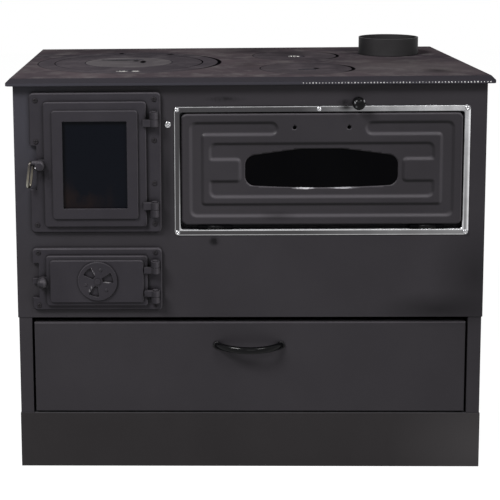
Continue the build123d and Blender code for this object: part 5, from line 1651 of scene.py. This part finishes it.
@dataclass
class CastDoors:
    """Fire and ash doors with their frames, hinges, latches and glass.

    The drops are how far below its frame's head each screw sits, on the left and on the right.
    """

    shop: Shop
    scatter: Scatter
    frame_front: float = -243.5
    left: float = -377.6
    right: float = -167.7
    fire_head: float = 693.8
    ash_head: float = 412.5
    fire_drops: tuple[tuple[float, ...], ...] = ((13.0, 87.0, 238.0), (12.0, 85.5, 163.0, 236.5))
    ash_drops: tuple[tuple[float, ...], ...] = ((7.8, 105.0), (7.8, 105.0))
    screw: Screw = Screw(radius=4.6, height=2.0, recess=1.5, length=12.5)

    def _screws(self) -> None:
        """Set dark cross-recessed screws on both frames."""
        frames = ((self.fire_head, self.fire_drops), (self.ash_head, self.ash_drops))
        places = [(x, self.frame_front, head - drop) for head, columns in frames
                  for x, drops in zip((self.left, self.right), columns) for drop in drops]
        heads = self.scatter.set_out("frame_screw_heads", self.screw.form(), places,
                                     self.shop.paint.material(Finish.DARK_SCREW), 5, (0.0, 1.0, 0.0))
        self.shop.add(heads, "stove", Finish.DARK_SCREW, "plain_steel", ("frame_screws",))

    def build(self) -> None:
        """Dress the castings and what they carry."""
        self._screws()
        self.shop.dress(Finish.CAST, "fire_door_frame", "ash_door_frame", "fire_door", "ash_door",
                        "fire_latch", "ash_latch", "door_hinge_pins", "air_disc_rivet")
        self.shop.dress(Finish.ROSETTE, "air_disc")
        self.shop.dress(Finish.NICKEL, "fire_latch_handle")
        self.shop.dress(Finish.FIRE_GLASS, "fire_door_glass")
        self.shop.dress(Finish.ROPE, "fire_door_gasket")
        self.shop.dress(Finish.STEEL, "fire_glass_clips")


@dataclass
class Oven:
    """Oven door, bright trim and oven box."""

    shop: Shop
    scatter: Scatter
    trim_front: float = -237.5
    trim_left: float = -127.45
    trim_right: float = 383.65
    trim_foot: float = 439.25
    trim_head: float = 661.75
    trim_middle: float = 123.6
    trim_screw: Screw = Screw(radius=4.6, height=2.2, recess=1.1, length=9.0)
    panel_place: Point = (-143.7, CASING_FACE, 635.0)
    panel_screw: Screw = Screw(radius=6.2, height=2.4, recess=1.8, length=9.0)

    def build(self) -> None:
        """Dress the oven."""
        door = PressedDoor().piece("oven_door_pressing")
        self.shop.add(door, "oven_door", Finish.DOOR_SHEET, "door_enamel", ("oven_door_outer",))
        self.shop.dress(Finish.OVEN_ENAMEL, "oven_box", "oven_door_inner")
        self.shop.dress(Finish.TRIM, "oven_trim")
        self.shop.dress(Finish.CHROME, "oven_rack")
        self.shop.dress(Finish.HINGE, "oven_hinge_leaves", "oven_hinge_pins")
        self.shop.dress(Finish.OVEN_GLASS, "oven_glass")
        self._screws()

    def _screws(self) -> None:
        """Set cross-recessed screws on the trim and one on the panel beside it."""
        places = [(x, self.trim_front, z) for x in (self.trim_left, self.trim_right)
                  for z in (self.trim_foot, self.trim_head)]
        places.append((self.trim_middle, self.trim_front, self.trim_head))
        for name, screw, seats, seed, replaced in (
                ("trim_screw_heads", self.trim_screw, places, 3, "oven_trim_screws"),
                ("panel_screw_head", self.panel_screw, [self.panel_place], 8, "panel_screw")):
            heads = self.scatter.set_out(name, screw.form(), seats,
                                         self.shop.paint.material(Finish.SCREW), seed, (0.0, 1.0, 0.0))
            self.shop.add(heads, "stove", Finish.SCREW, "bright_trim", (replaced,))


@dataclass
class Hob:
    """Hob plate, rings, lids and flue collar."""

    shop: Shop
    scatter: Scatter
    edge_span: Span = (94.0, 424.0)
    edge_y: float = -251.7
    edge_z: float = 709.6
    edge_pitch: float = 5.6
    bead_half: Point = (1.4, 0.9, 1.6)
    bead_sizes: Span = (0.55, 1.15)

    def _rough_edge(self) -> None:
        """Set rough beads along the right half of the plate's front edge, bright as a painted dotted
        highlight.
        """
        form = mesh_piece("bead_form", [], [])
        body = bmesh.new()
        shape = Matrix.Diagonal((*(half * MM for half in self.bead_half), 1.0))
        bmesh.ops.create_icosphere(body, subdivisions=2, radius=1.0, matrix=shape)
        body.to_mesh(form.data)
        body.free()
        form.data.shade_smooth()
        start, end = self.edge_span
        places = [(start + self.edge_pitch * step, self.edge_y, self.edge_z)
                  for step in range(int((end - start) / self.edge_pitch) + 1)]
        beads = self.scatter.set_out("plate_edge_beads", form, places,
                                     self.shop.paint.material(Finish.EDGE_BEAD), 11,
                                     sizes=self.bead_sizes)
        self.shop.add(beads, "stove", Finish.EDGE_BEAD, "hob_iron")

    def build(self) -> None:
        """Dress the hob."""
        self.shop.dress(Finish.HOB, "hob_plate")
        self.shop.dress(Finish.RING, "outer_ring", "inner_ring")
        self.shop.dress(Finish.DISC, "centre_disc")
        self.shop.dress(Finish.LID, "front_lid", "rear_lid")
        self.shop.dress(Finish.COLLAR, "flue_collar")
        self._rough_edge()


@dataclass
class Firebox:
    """Firebox lining, grate, ash chamber and damper plate."""

    shop: Shop

    def build(self) -> None:
        """Dress the firebox."""
        self.shop.dress(Finish.SOOT, "firebox_shell", "grate_frame", "grate", "log_guard",
                        "ash_chamber", "ash_pan", "damper_plate")
        self.shop.dress(Finish.BRICK, "firebricks")


def main() -> None:
    """Build the stove's looks round its frame."""
    logging.basicConfig(level=logging.INFO, format="%(name)s: %(message)s")
    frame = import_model()
    Studio().build()
    shop = Shop(frame, Paintshop())
    scatter = Scatter()
    for assembly in (Carcass(shop), CastDoors(shop, scatter), Oven(shop, scatter),
                     Hob(shop, scatter), Firebox(shop)):
        assembly.build()
        LOG.info("%s is ready", type(assembly).__name__)


if __name__ == "__main__":
    main()
